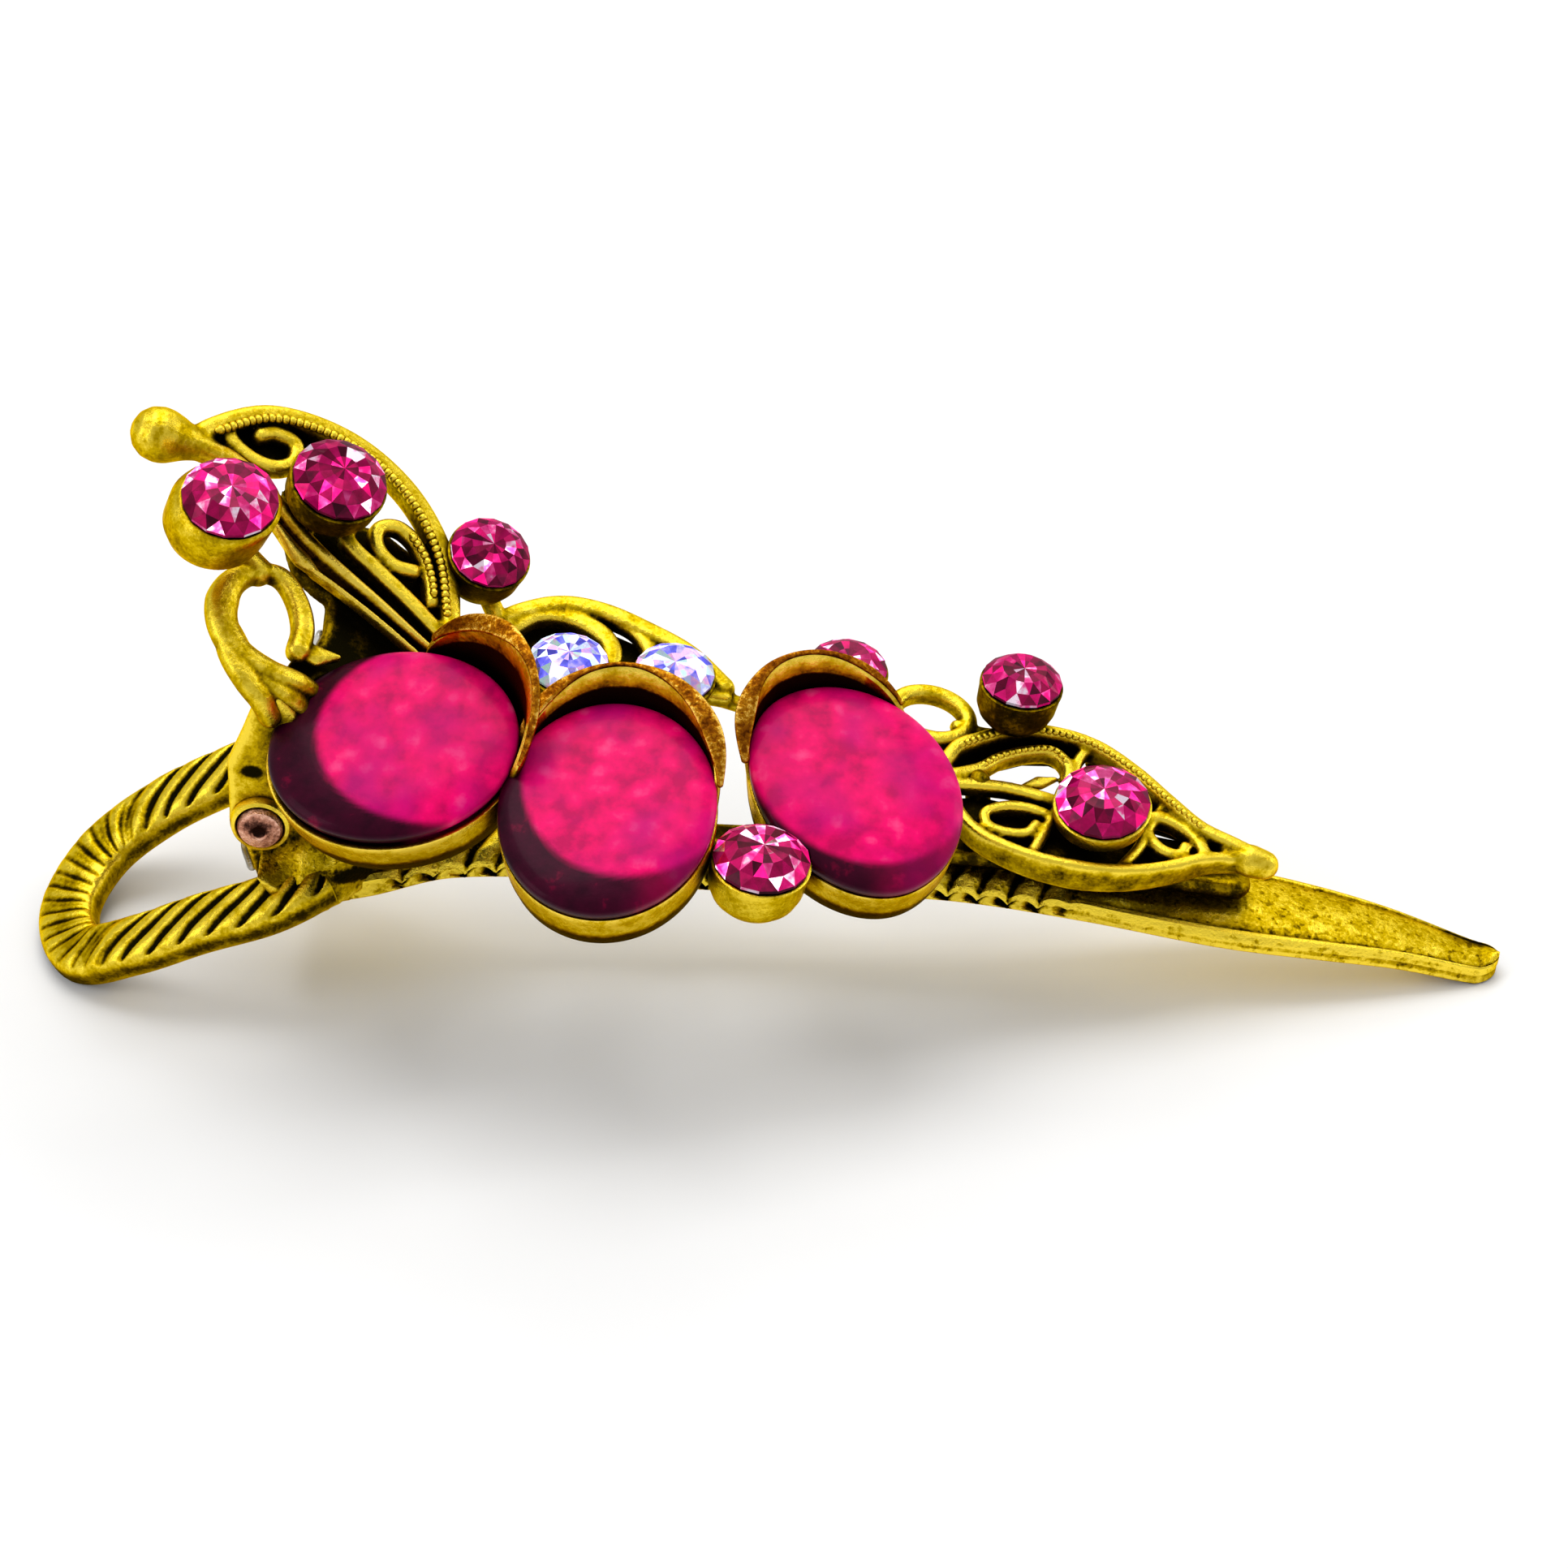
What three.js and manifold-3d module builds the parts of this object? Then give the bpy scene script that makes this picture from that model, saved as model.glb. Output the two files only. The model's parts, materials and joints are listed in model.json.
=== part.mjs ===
// Antique-gold beak hair clip: two sprung jaws on a hinge pin, with a finger loop behind the lower jaw
// and a flower of oval cabochons, round chatons and filigree leaves on the upper jaw.
// Millimetres. +X runs from the finger loop to the jaw tip, +Y to the back of the flower, +Z up.
import * as THREE from "three";
import { mergeVertices } from "three/addons/utils/BufferGeometryUtils.js";
import Module from "manifold-3d";

const wasm = await Module();
wasm.setup();

// ---------------------------------------------------------------- driving dimensions
const GAP = 0.3; // clearance between pieces that touch
const JAW_THICKNESS = 1.25;
const TIP_X = 35.8;
const PLATE_BACK_X = -25.6; // rear edge of the lower jaw plate
const LOOP_BACK_X = -36.5; // centre line of the finger loop's rear arc
const PIN = { x: -25.3, z: 10.9, radius: 0.8, headRadius: 1.5, headThickness: 0.7 };
const LOWER_EAR = { inner: 3.6, thickness: 0.7, eyeRadius: 1.6 };
const UPPER_EAR = { inner: 4.6, thickness: 0.7, eyeRadius: 1.6 };
const EYE_HOLE = PIN.radius + 0.2; // radius of the pin holes in the ears
const SPRING = { radius: 1.3, wire: 0.25, turns: 6, pitch: 0.8 };
const RIM_WIRE = 0.55; // radii of the filigree wires
const VEIN_WIRE = 0.42;
const LOOP_WIRE = 0.62;
const CABOCHON = { long: 12.3, short: 10.5, height: 3.2 };
const PETAL_WALL = 0.3;
const STONE_GAP = 0.1; // between a stone and the wall round it

// ---------------------------------------------------------------- materials
function metal(color, roughness) {
  return new THREE.MeshStandardMaterial({ color, roughness, metalness: 1 });
}
const antiqueGold = metal(0xa8861c, 0.42);
const springSteel = metal(0x6f6c66, 0.35);
const copperRivet = metal(0xb0704c, 0.4);
const copperGold = metal(0xb27a1e, 0.38);
const pinkGlass = new THREE.MeshStandardMaterial({ color: 0xe0208a, roughness: 0.05, metalness: 0 });
const auroraGlass = new THREE.MeshStandardMaterial({ color: 0xc3b8ee, roughness: 0.05, metalness: 0 });
const magentaGlass = new THREE.MeshStandardMaterial({ color: 0xd6006c, roughness: 0.08, metalness: 0 });

// ---------------------------------------------------------------- solids
function v(x, y, z) {
  return new THREE.Vector3(x, y, z);
}

function solidOf(geometry) {
  const bare = geometry.clone();
  bare.deleteAttribute("normal");
  bare.deleteAttribute("uv");
  const merged = mergeVertices(bare, 1e-4);
  const vertProperties = new Float32Array(merged.attributes.position.array);
  const triVerts = new Uint32Array(merged.index.array);
  return new wasm.Manifold(new wasm.Mesh({ numProp: 3, vertProperties, triVerts }));
}

function joined(solids) {
  return solids.reduce((all, next) => all.add(next));
}

// Cuts the envelopes out of a solid and keeps its largest part.
function trimmed(solid, envelopes) {
  const cut = envelopes.reduce((rest, envelope) => rest.subtract(envelope), solid);
  const parts = cut.decompose();
  return parts.reduce((best, part) => (part.volume() > best.volume() ? part : best));
}

function geometryOf(solid) {
  const { vertProperties, triVerts } = solid.getMesh();
  const geometry = new THREE.BufferGeometry();
  geometry.setAttribute("position", new THREE.BufferAttribute(new Float32Array(vertProperties), 3));
  geometry.setIndex(new THREE.BufferAttribute(new Uint32Array(triVerts), 1));
  return geometry;
}

function smoothCurve(points) {
  return new THREE.CatmullRomCurve3(points, false, "centripetal");
}

// An oval section, halfWide across the curve and halfTall along the other way.
function ovalSection(halfWide, halfTall, sides) {
  const corners = Array.from({ length: sides }, (_, i) => {
    const turn = ((i + 0.5) / sides) * Math.PI * 2;
    return new THREE.Vector2(halfWide * Math.cos(turn), halfTall * Math.sin(turn));
  });
  return new THREE.Shape(corners);
}

function wire(points, radius, steps = 16, sides = 6, halfTall = radius) {
  const path = smoothCurve(points);
  const shape = ovalSection(radius, halfTall, sides);
  return new THREE.ExtrudeGeometry(shape, { steps, extrudePath: path });
}

// A closed outline in the XZ plane, as a slab from y = near to y = far.
function sideSlab(shape, near, far) {
  const slab = new THREE.ExtrudeGeometry(shape, { depth: far - near, bevelEnabled: false });
  slab.rotateX(Math.PI / 2);
  slab.translate(0, far, 0);
  return slab;
}

// A closed outline in the XY plane, from z = low to z = high.
function plate(shape, low, high) {
  const slab = new THREE.ExtrudeGeometry(shape, { depth: high - low, bevelEnabled: false });
  slab.translate(0, 0, low);
  return slab;
}

function block(low, high) {
  const size = high.clone().sub(low);
  const box = new THREE.BoxGeometry(size.x, size.y, size.z);
  return box.translate(low.x + size.x / 2, low.y + size.y / 2, low.z + size.z / 2);
}

// A rod along Y.
function rod(radius, near, far, sides = 16) {
  const cylinder = new THREE.CylinderGeometry(radius, radius, far - near, sides);
  return cylinder.translate(PIN.x, (near + far) / 2, PIN.z);
}

// A lathe about +Z, whose profile is [radius, height] pairs from the axis round to the axis.
function turned(profile, segments) {
  const points = profile.map(([r, h]) => new THREE.Vector2(r, h));
  return new THREE.LatheGeometry(points, segments).rotateX(Math.PI / 2);
}

// ---------------------------------------------------------------- placing
// The matrix that puts a piece's own +X, +Z and origin where the arguments say.
function placed(origin, along, normal) {
  const z = normal.clone().normalize();
  const x = along.clone().addScaledVector(z, -along.dot(z)).normalize();
  const y = new THREE.Vector3().crossVectors(z, x);
  return new THREE.Matrix4().makeBasis(x, y, z).setPosition(origin);
}

function place(geometry, matrix) {
  return solidOf(geometry.clone().applyMatrix4(matrix));
}

// Points given in a leaf's own plane, as [along, across] or [along, across, above].
function flatPoints(pairs) {
  return pairs.map(([x, y, z = 0]) => v(x, y, z));
}

// ---------------------------------------------------------------- lower jaw
const UNDERSIDE = [
  [PLATE_BACK_X, 4.6], [-20, 5.6], [-14.6, 5.3], [-4, 4.7],
  [9.6, 4.5], [21.7, 3.1], [30, 1.5], [TIP_X - 1, 0.0], [TIP_X + 1, -0.3],
];

// A strip of even thickness above a line of [x, z] points.
function archedStrip(line, thickness) {
  const low = smoothCurve(line.map(([x, z]) => v(x, z, 0)));
  const steps = 24;
  const bottom = low.getPoints(steps);
  const top = bottom.map((p, i) => {
    const along = low.getTangent(i / steps);
    return new THREE.Vector2(p.x - along.y * thickness, p.y + along.x * thickness);
  });
  return new THREE.Shape([...bottom.map((p) => new THREE.Vector2(p.x, p.y)), ...top.reverse()]);
}

// Half widths of the lower jaw along its length: hinge plate, narrow bar, spearhead.
const HALF_WIDTHS = [
  [PLATE_BACK_X, 4.1], [-20.5, 4.2], [-16.5, 2.3], [-13, 1.7], [-4, 1.6],
  [8, 1.7], [15, 2.3], [22, 2.9], [27, 2.5], [32, 1.65], [34.4, 1.25],
];

function symmetricOutline(halfWidths, tipX) {
  const side = smoothCurve(halfWidths.map(([x, w]) => v(x, w, 0)));
  const far = side.getPoints(24).map((p) => new THREE.Vector2(p.x, p.y));
  const tipWidth = far[far.length - 1].y;
  const tip = new THREE.Vector2(tipX, 0);
  const shoulder = new THREE.Vector2(tipX - 0.35, tipWidth * 0.65);
  const near = far.map((p) => new THREE.Vector2(p.x, -p.y));
  const nearShoulder = new THREE.Vector2(shoulder.x, -shoulder.y);
  return new THREE.Shape([...near, nearShoulder, tip, shoulder, ...far.reverse()]);
}

function eyeOutline(ear, foot) {
  const shape = new THREE.Shape();
  const [rearFoot, frontFoot] = foot;
  shape.moveTo(rearFoot[0], rearFoot[1]);
  shape.lineTo(frontFoot[0], frontFoot[1]);
  shape.absarc(PIN.x, PIN.z, ear.eyeRadius, Math.PI * 0.2, Math.PI * 0.95, false);
  shape.closePath();
  return shape;
}

function bothSides(ear, outline) {
  const outer = ear.inner + ear.thickness;
  return joined([
    solidOf(sideSlab(outline, ear.inner, outer)),
    solidOf(sideSlab(outline, -outer, -ear.inner)),
  ]);
}

function lowerJaw() {
  const strip = solidOf(sideSlab(archedStrip(UNDERSIDE, JAW_THICKNESS), -8, 8));
  const outline = solidOf(plate(symmetricOutline(HALF_WIDTHS, TIP_X), -1, 12));
  const earOutline = eyeOutline(LOWER_EAR, [[-25.3, 5.2], [-19.6, 6.2]]);
  const ears = bothSides(LOWER_EAR, earOutline);
  const pinHole = solidOf(rod(EYE_HOLE, -8, 8));
  const table = solidOf(block(v(TIP_X - 8, -8, -3), v(TIP_X + 4, 8, 0)));
  return strip.intersect(outline).add(ears).subtract(pinHole).subtract(table);
}

// ---------------------------------------------------------------- finger loop
const LOOP = { halfWide: 1.3, halfTall: 0.95, armY: 5.8, backY: 3.7, roll: 0.1 };

function fingerLoop() {
  const side = [
    [-23.8, LOOP.armY - 0.05, 7.3], [-25.2, LOOP.armY, 6.7], [-28.6, LOOP.armY - 0.3, 5.2],
    [-32, LOOP.armY - 0.7, 3.4], [-35, LOOP.backY, 1.55],
  ];
  const near = side.map(([x, y, z]) => v(x, -y, z - LOOP.roll * y));
  const back = v(LOOP_BACK_X, 0, 0.9);
  const far = side.map(([x, y, z]) => v(x, y, z + LOOP.roll * y)).reverse();
  const ring = wire([...near, back, ...far], LOOP.halfWide, 30, 8, LOOP.halfTall);
  const table = solidOf(block(v(-45, -10, -4), v(-20, 10, 0)));
  return solidOf(ring).subtract(table);
}

// ---------------------------------------------------------------- hinge pin and spring
function hingePin() {
  const seat = UPPER_EAR.inner + UPPER_EAR.thickness + GAP;
  const end = seat + PIN.headThickness;
  return joined([
    solidOf(rod(PIN.radius, -end, end, 12)),
    solidOf(rod(PIN.headRadius, -end, -seat)),
    solidOf(rod(PIN.headRadius, seat, end)),
  ]);
}

function springPoints() {
  const half = (SPRING.turns * SPRING.pitch) / 2;
  const perTurn = 8;
  const count = SPRING.turns * perTurn + perTurn / 2;
  const coil = Array.from({ length: count + 1 }, (_, i) => {
    const turn = (i / perTurn) * Math.PI * 2;
    const y = -half + (i / count) * 2 * half;
    return v(PIN.x + SPRING.radius * Math.sin(turn), y, PIN.z - SPRING.radius * Math.cos(turn));
  });
  const lowerLeg = [v(-26.4, -half, 6.5), v(-26.6, -half, 7.6)];
  const upperLeg = [v(-24.4, half, 14.0), v(-23.2, half, 16.6)];
  return [...lowerLeg, ...coil, ...upperLeg];
}

function torsionSpring() {
  return solidOf(wire(springPoints(), SPRING.wire, 96, 5));
}

// ---------------------------------------------------------------- frames of the leaves
const LEVER_LEAF_LENGTH = 17.2;
const leverLeafFrame = placed(v(-31.1, 4.5, 26.3), v(0.831, -0.231, -0.506), v(0.407, -0.368, 0.836));
const wingFrame = placed(v(-14.3, 4.0, 15.4), v(0.977, -0.088, -0.196), v(0.165, -0.278, 0.946));
const frontLeafFrame = placed(v(7.9, 1.0, 11.1), v(0.974, -0.06, -0.22), v(0.203, -0.216, 0.955));

// ---------------------------------------------------------------- upper jaw frame
const SPINE = [
  [-17.3, 16.3], [-16.2, 14.6], [-14.6, 11.0], [-12.4, 7.9], [-8, 6.6],
  [-4, 6.25], [9.6, 6.05], [21.7, 4.65], [23, 4.45],
];
const SPINE_THICKNESS = 1.1;
const SPINE_HALF_WIDTH = 0.9;

// The near ear rises to the neck of the side loop, and the far one leans forward under the lever plate.
function nearEar() {
  const shape = new THREE.Shape();
  shape.moveTo(-23.85, 12.0);
  shape.lineTo(-24.0, 15.2);
  shape.lineTo(-23.3, 17.2);
  shape.lineTo(-24.9, 17.7);
  shape.lineTo(-26.7, 14.4);
  shape.lineTo(-26.8, 12.0);
  shape.absarc(PIN.x, PIN.z, UPPER_EAR.eyeRadius, Math.PI * 0.9, Math.PI * 2.1, false);
  shape.closePath();
  return sideSlab(shape, -UPPER_EAR.inner - UPPER_EAR.thickness, -UPPER_EAR.inner);
}

function farEar() {
  const shape = new THREE.Shape();
  shape.moveTo(-19.5, 13.9);
  shape.lineTo(-17.6, 14.4);
  shape.lineTo(-17.6, 15.8);
  shape.lineTo(-19.8, 15.8);
  shape.lineTo(-22.6, 14.1);
  shape.lineTo(-26.3, 12.2);
  shape.absarc(PIN.x, PIN.z, UPPER_EAR.eyeRadius, Math.PI * 0.75, Math.PI * 1.85, false);
  shape.closePath();
  return sideSlab(shape, UPPER_EAR.inner, UPPER_EAR.inner + UPPER_EAR.thickness);
}

// The thumb plate under the lever leaf, in the leaf's own plane.
function leverPlate() {
  const outline = new THREE.Shape([
    [18.2, 1.2], [16.2, 1.8], [12.2, 2.6], [9.8, 2.6], [10.6, 0.2], [12.4, -3.0],
    [11.6, -4.6], [11.6, -8.0], [12.9, -8.0], [13.2, -5.0], [15.0, -3.4], [18.2, -2.4],
  ].map(([x, y]) => new THREE.Vector2(x, y)));
  return place(plate(outline, -1.9, -1.0), leverLeafFrame);
}

// Posts and arms that carry the castings on the spine, as [foot, head].
const POSTS = [
  [v(-15.0, -0.4, 12.4), v(-17.2, -4.6, 14.2)],
  [v(-8.0, -0.4, 7.2), v(-8.0, -7.6, 12.2)],
  [v(3.5, -0.3, 6.8), v(3.5, -4.2, 11.2)],
  [v(-10.5, 0.3, 7.6), v(-10.5, 2.9, 13.6)],
  [v(3.0, 0.3, 6.8), v(3.0, 3.3, 10.5)],
  [v(9.6, 0, 6.6), v(9.6, 0.3, 9.7)],
  [v(15.6, 0, 6.0), v(15.6, -0.3, 8.4)],
];
const POST_RADIUS = 0.7;

function upperJawFrame() {
  const strip = solidOf(sideSlab(archedStrip(SPINE, SPINE_THICKNESS), -SPINE_HALF_WIDTH, SPINE_HALF_WIDTH));
  const bridge = solidOf(block(v(-19.2, -1.4, 14.6), v(-17.2, UPPER_EAR.inner + 0.4, 15.8)));
  const posts = POSTS.map((ends) => solidOf(wire(ends, POST_RADIUS, 2, 8)));
  const pinHole = solidOf(rod(EYE_HOLE, -8, 8));
  const body = joined([strip, bridge, leverPlate(), solidOf(nearEar()), solidOf(farEar()), ...posts]);
  return body.subtract(pinHole);
}

// ---------------------------------------------------------------- petals
// A petal is an oval cup whose wall rises into a hood on the side that faces the flower's middle.
// Its own +X is the long axis, away from the flower's middle.
const PETALS = [
  {
    centre: v(-18.35, -5.9, 15.4), outward: v(-1, -0.12, 0), normal: v(-0.1, -0.4, 0.91),
    hood: { start: 140, end: 255, rise: 3.8 },
  },
  {
    centre: v(-7.95, -9.0, 14.2), outward: v(-0.1, -1, 0), normal: v(0.0, -0.33, 0.944),
    hood: { start: 94, end: 249, rise: 3.0 },
  },
  {
    centre: v(3.35, -5.1, 12.9), outward: v(0.56, -0.83, 0), normal: v(0.12, -0.36, 0.925),
    hood: { start: 114, end: 264, rise: 3.0 },
  },
];
const PETAL = { floor: 0.6, step: 0.84, depth: 2.4, segments: 36 };
const HOOD_FLARE = 0.03; // how much the hood widens for each millimetre that it rises

function oval(geometry, longScale, shortScale) {
  return geometry.scale(longScale, shortScale, 1);
}

// The hood's rise at a turn in degrees: steep at its two ends and nearly even between them.
function hoodRise(turn, hood) {
  const share = (((turn % 360) + 360) % 360 - hood.start) / (hood.end - hood.start);
  return share > 0 && share < 1 ? hood.rise * Math.sin(Math.PI * share) ** 0.6 : 0;
}

// Every point above the step at the floor's edge rises with the hood in proportion to its height.
function raiseHood(geometry, hood) {
  const position = geometry.attributes.position;
  for (let i = 0; i < position.count; i += 1) {
    const [x, y, z] = [position.getX(i), position.getY(i), position.getZ(i)];
    const share = Math.max(0, (z - PETAL.step) / (PETAL.depth - PETAL.step));
    const rise = share * hoodRise((Math.atan2(y, x) * 180) / Math.PI, hood);
    const spread = 1 + HOOD_FLARE * rise;
    position.setXYZ(i, x * spread, y * spread, z + rise);
  }
  return geometry;
}

function petalGeometry(petal) {
  const inner = 1 - (PETAL_WALL / CABOCHON.short) * 2;
  const cup = turned([
    [0, 0], [0.8, 0], [0.97, PETAL.step], [1.02, PETAL.depth],
    [inner * 1.02, PETAL.depth], [inner * 0.97, PETAL.step], [0, PETAL.floor],
  ], PETAL.segments);
  const long = CABOCHON.long / 2 + PETAL_WALL + STONE_GAP;
  const short = CABOCHON.short / 2 + PETAL_WALL + STONE_GAP;
  return oval(raiseHood(cup, petal.hood), long, short);
}

function petalFrame(petal) {
  return placed(petal.centre, petal.outward, petal.normal);
}

// The space a petal and its stone take, filled in and grown by the gap.
function petalEnvelope(petal) {
  const grown = 1 + GAP / (CABOCHON.short / 2);
  const filled = turned([
    [0, -GAP], [0.8 * grown, -GAP], [0.97 * grown, PETAL.floor * 0.7], [1.02 * grown, PETAL.depth + GAP],
    [0, PETAL.depth + GAP],
  ], PETAL.segments);
  const long = CABOCHON.long / 2 + PETAL_WALL + STONE_GAP;
  const short = CABOCHON.short / 2 + PETAL_WALL + STONE_GAP;
  const space = oval(raiseHood(filled, petal.hood), long, short);
  const stone = cabochonGeometry().scale(grown, grown, grown);
  const frame = petalFrame(petal);
  return place(space.translate(0, 0, cupBase), frame).add(place(stone.translate(0, 0, stoneBase), frame));
}

function cabochonGeometry() {
  const h = CABOCHON.height;
  const dome = turned([
    [0, 0], [0.86, 0], [0.97, 0.3 * h], [0.96, 0.54 * h], [0.84, 0.76 * h], [0.5, 0.94 * h], [0, h],
  ], 28);
  return oval(dome, CABOCHON.long / 2, CABOCHON.short / 2);
}

const cupBase = -PETAL.depth + 0.4; // the cup's rim stands 0.4 above the petal's centre plane
const stoneBase = cupBase + PETAL.floor + GAP;

// ---------------------------------------------------------------- chatons
const LARGE = 4.7;
const SMALL = 4.0;
const BEZEL_RIM = 0.05; // how far most bezels stand out past the stone
const CHATONS = [
  {
    name: "pink_chaton_1", size: LARGE, cup: 3.0, rim: 0.55, at: v(-26.5, -1.0, 26.8),
    normal: v(0.2, -0.32, 0.93),
  },
  { name: "pink_chaton_2", size: LARGE, cup: 2.2, at: v(-21.9, 3.85, 24.85), normal: v(0.33, -0.32, 0.89) },
  { name: "pink_chaton_3", size: SMALL, cup: 2.4, at: v(-14.8, 5.0, 20.1), normal: v(0.3, -0.35, 0.88) },
  { name: "pink_chaton_4", size: SMALL, cup: 2.2, at: v(2.9, 4.2, 14.3), normal: v(0.1, -0.2, 0.97) },
  { name: "pink_chaton_5", size: SMALL, cup: 2.4, at: v(11.6, 4.0, 14.0), normal: v(0.13, -0.08, 0.99) },
  { name: "pink_chaton_6", size: LARGE, cup: 1.5, at: v(15.75, -1.3, 10.6), normal: v(0.05, -0.22, 0.97) },
  { name: "pink_chaton_7", size: LARGE, cup: 2.6, at: v(-0.35, -10.3, 13.15), normal: v(0.13, -0.11, 0.985) },
  { name: "ab_chaton_1", size: SMALL, cup: 1.6, at: v(-10.8, 2.4, 15.4), normal: v(0.1, -0.2, 0.97) },
  { name: "ab_chaton_2", size: SMALL, cup: 1.4, at: v(-5.6, 2.8, 14.7), normal: v(0.1, -0.2, 0.97) },
];

function bezelRadius(chaton) {
  return chaton.size / 2 + (chaton.rim ?? BEZEL_RIM);
}

function chatonFrame(chaton) {
  return placed(chaton.at, v(1, 0, 0), chaton.normal);
}

// The bezel ends just under the stone's girdle, so the stone hides it from above.
function bezelGeometry(chaton) {
  const outer = bezelRadius(chaton);
  const inner = chaton.size / 2 - 0.25;
  const rim = -0.2;
  const foot = -chaton.cup;
  return turned([
    [0, foot], [outer * 0.8, foot], [outer, foot * 0.5], [outer, rim],
    [inner, rim], [inner * 0.9, foot * 0.45], [0, foot + 0.5],
  ], 18);
}

// The space a chaton and its bezel take, filled in and grown by the gap.
function chatonEnvelope(chaton) {
  const outer = bezelRadius(chaton) + GAP;
  const foot = -chaton.cup - GAP;
  const top = chaton.size * 0.25;
  const space = turned([
    [0, foot], [outer * 0.82, foot], [outer, foot * 0.5], [outer, 0.1 * chaton.size],
    [outer * 0.6, top], [0, top],
  ], 18);
  return place(space, chatonFrame(chaton));
}

function chatonGeometry(chaton) {
  const r = chaton.size / 2;
  const facets = 12;
  const profile = [[0, -0.42 * r], [0.98 * r, 0.02 * r], [r, 0.1 * r], [0.56 * r, 0.5 * r], [0, 0.5 * r]];
  return turned(profile, facets);
}

// ---------------------------------------------------------------- filigree
// Each wire of a leaf is [points in the leaf's plane, radius, steps, half height where it isn't round].
function leafOf(wires, frame, solids = []) {
  const sides = 6;
  const swept = wires.map(([pairs, radius, steps, halfTall]) => (
    wire(flatPoints(pairs), radius, steps, sides, halfTall)
  ));
  return joined([...swept, ...solids].map((geometry) => place(geometry, frame)));
}

function knob(radius, x, y) {
  return new THREE.SphereGeometry(radius, 12, 8).translate(x, y, 0);
}

// The leaf behind the thumb plate, with a stem that ends in a knob.
function leverLeaf() {
  const rim = [[1.4, 1.1], [1.9, 2.7], [3.9, 5.4], [7.7, 6.8], [11.6, 6.3], [14.9, 4.2], [16.8, 1.4]];
  const midrib = [[-0.1, 0.7], [1.6, 1.3], [3.7, 1.8], [6.7, 1.2], [9.1, 0.4], [13.9, -0.3], [17.4, -0.8]];
  const outerScroll = [
    [2.5, 3.9], [2.9, 3.0], [4.1, 2.6], [5.4, 2.9], [6.1, 3.8], [5.6, 4.8], [4.5, 4.6],
  ];
  const innerScroll = [
    [15.6, 1.7], [14.9, 2.7], [14.0, 3.6], [13.0, 4.2], [12.0, 4.2], [11.4, 3.5], [11.8, 2.6], [13.0, 2.2],
    [14.0, 2.6],
  ];
  const vein = [[10.6, 1.9], [12.4, 1.4], [14.5, 1.0], [16.6, 0.5]];
  const strut = [[8.6, 0.6], [8.5, 3.2], [8.4, 6.6]];
  const neck = new THREE.CylinderGeometry(1.1, 0.55, 2.4, 10).rotateZ(Math.PI / 2 + 0.3);
  neck.translate(1.1, 1.1, 0);
  return leafOf([
    [rim, RIM_WIRE, 18], [midrib, VEIN_WIRE, 10], [outerScroll, VEIN_WIRE, 14],
    [innerScroll, VEIN_WIRE, 14], [vein, VEIN_WIRE, 6], [strut, VEIN_WIRE, 4],
  ], leverLeafFrame, [knob(1.4, -0.1, 0.7), neck]);
}

// The teardrop scroll between the lever leaf's first bezel and the near ear.
function leverSideLoop() {
  const loop = [
    [11.4, -4.4], [11.2, -3.6], [10.1, -2.4], [8.8, -1.9], [7.7, -2.6], [7.1, -3.6], [7.1, -4.8],
    [7.7, -6.0], [8.8, -6.9], [10.5, -7.2], [12.4, -6.7], [13.6, -6.1],
  ].map(([x, y]) => [x, y, -0.3]);
  const pad = new THREE.CylinderGeometry(1.4, 1.4, 0.8, 12).rotateX(Math.PI / 2).translate(6.4, -2.2, -0.4);
  return leafOf([[loop, LOOP_WIRE, 24]], leverLeafFrame, [pad]);
}

// The leaf behind the flower, with a vine to the side ring and a stub under the third chaton.
function middleWing() {
  const rim = [
    [0.2, -0.6], [-0.2, 1.2], [1.2, 2.6], [2.7, 3.3], [4.6, 3.4], [6.9, 2.9], [9.2, 2.1], [11.3, 0.6],
  ];
  const band = [[0.3, 1.1], [1.3, 2.2], [2.7, 2.6], [4.2, 2.3], [5.1, 1.7], [5.5, 0.8], [5.4, -0.5]];
  const vein = [[5.4, 3.2], [6.4, 2.7], [7.2, 1.8], [7.5, 0.7]];
  const base = [[0.1, -0.5], [3.6, -0.5], [7.5, -0.3], [11.4, 0.1]];
  const wing = leafOf([
    [rim, RIM_WIRE, 16], [band, VEIN_WIRE, 12], [vein, VEIN_WIRE, 8], [base, VEIN_WIRE, 8],
  ], wingFrame);
  const vinePoints = [v(-3.4, 3.2, 13.1), v(-0.5, 3.6, 11.9), v(3.0, 3.6, 11.2), v(5.0, 3.0, 11.2)];
  const stubPoints = [v(-14.2, 5.3, 15.7), v(-14.9, 5.6, 16.8), v(-15.5, 5.8, 17.8)];
  const vine = wire(vinePoints, VEIN_WIRE, 8);
  const stub = wire(stubPoints, VEIN_WIRE, 3);
  return joined([wing, solidOf(vine), solidOf(stub)]);
}

function sideRing() {
  const ring = new THREE.TorusGeometry(1.55, 0.48, 8, 20).translate(-1.2, 2.8, 0);
  return place(ring, frontLeafFrame);
}

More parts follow.
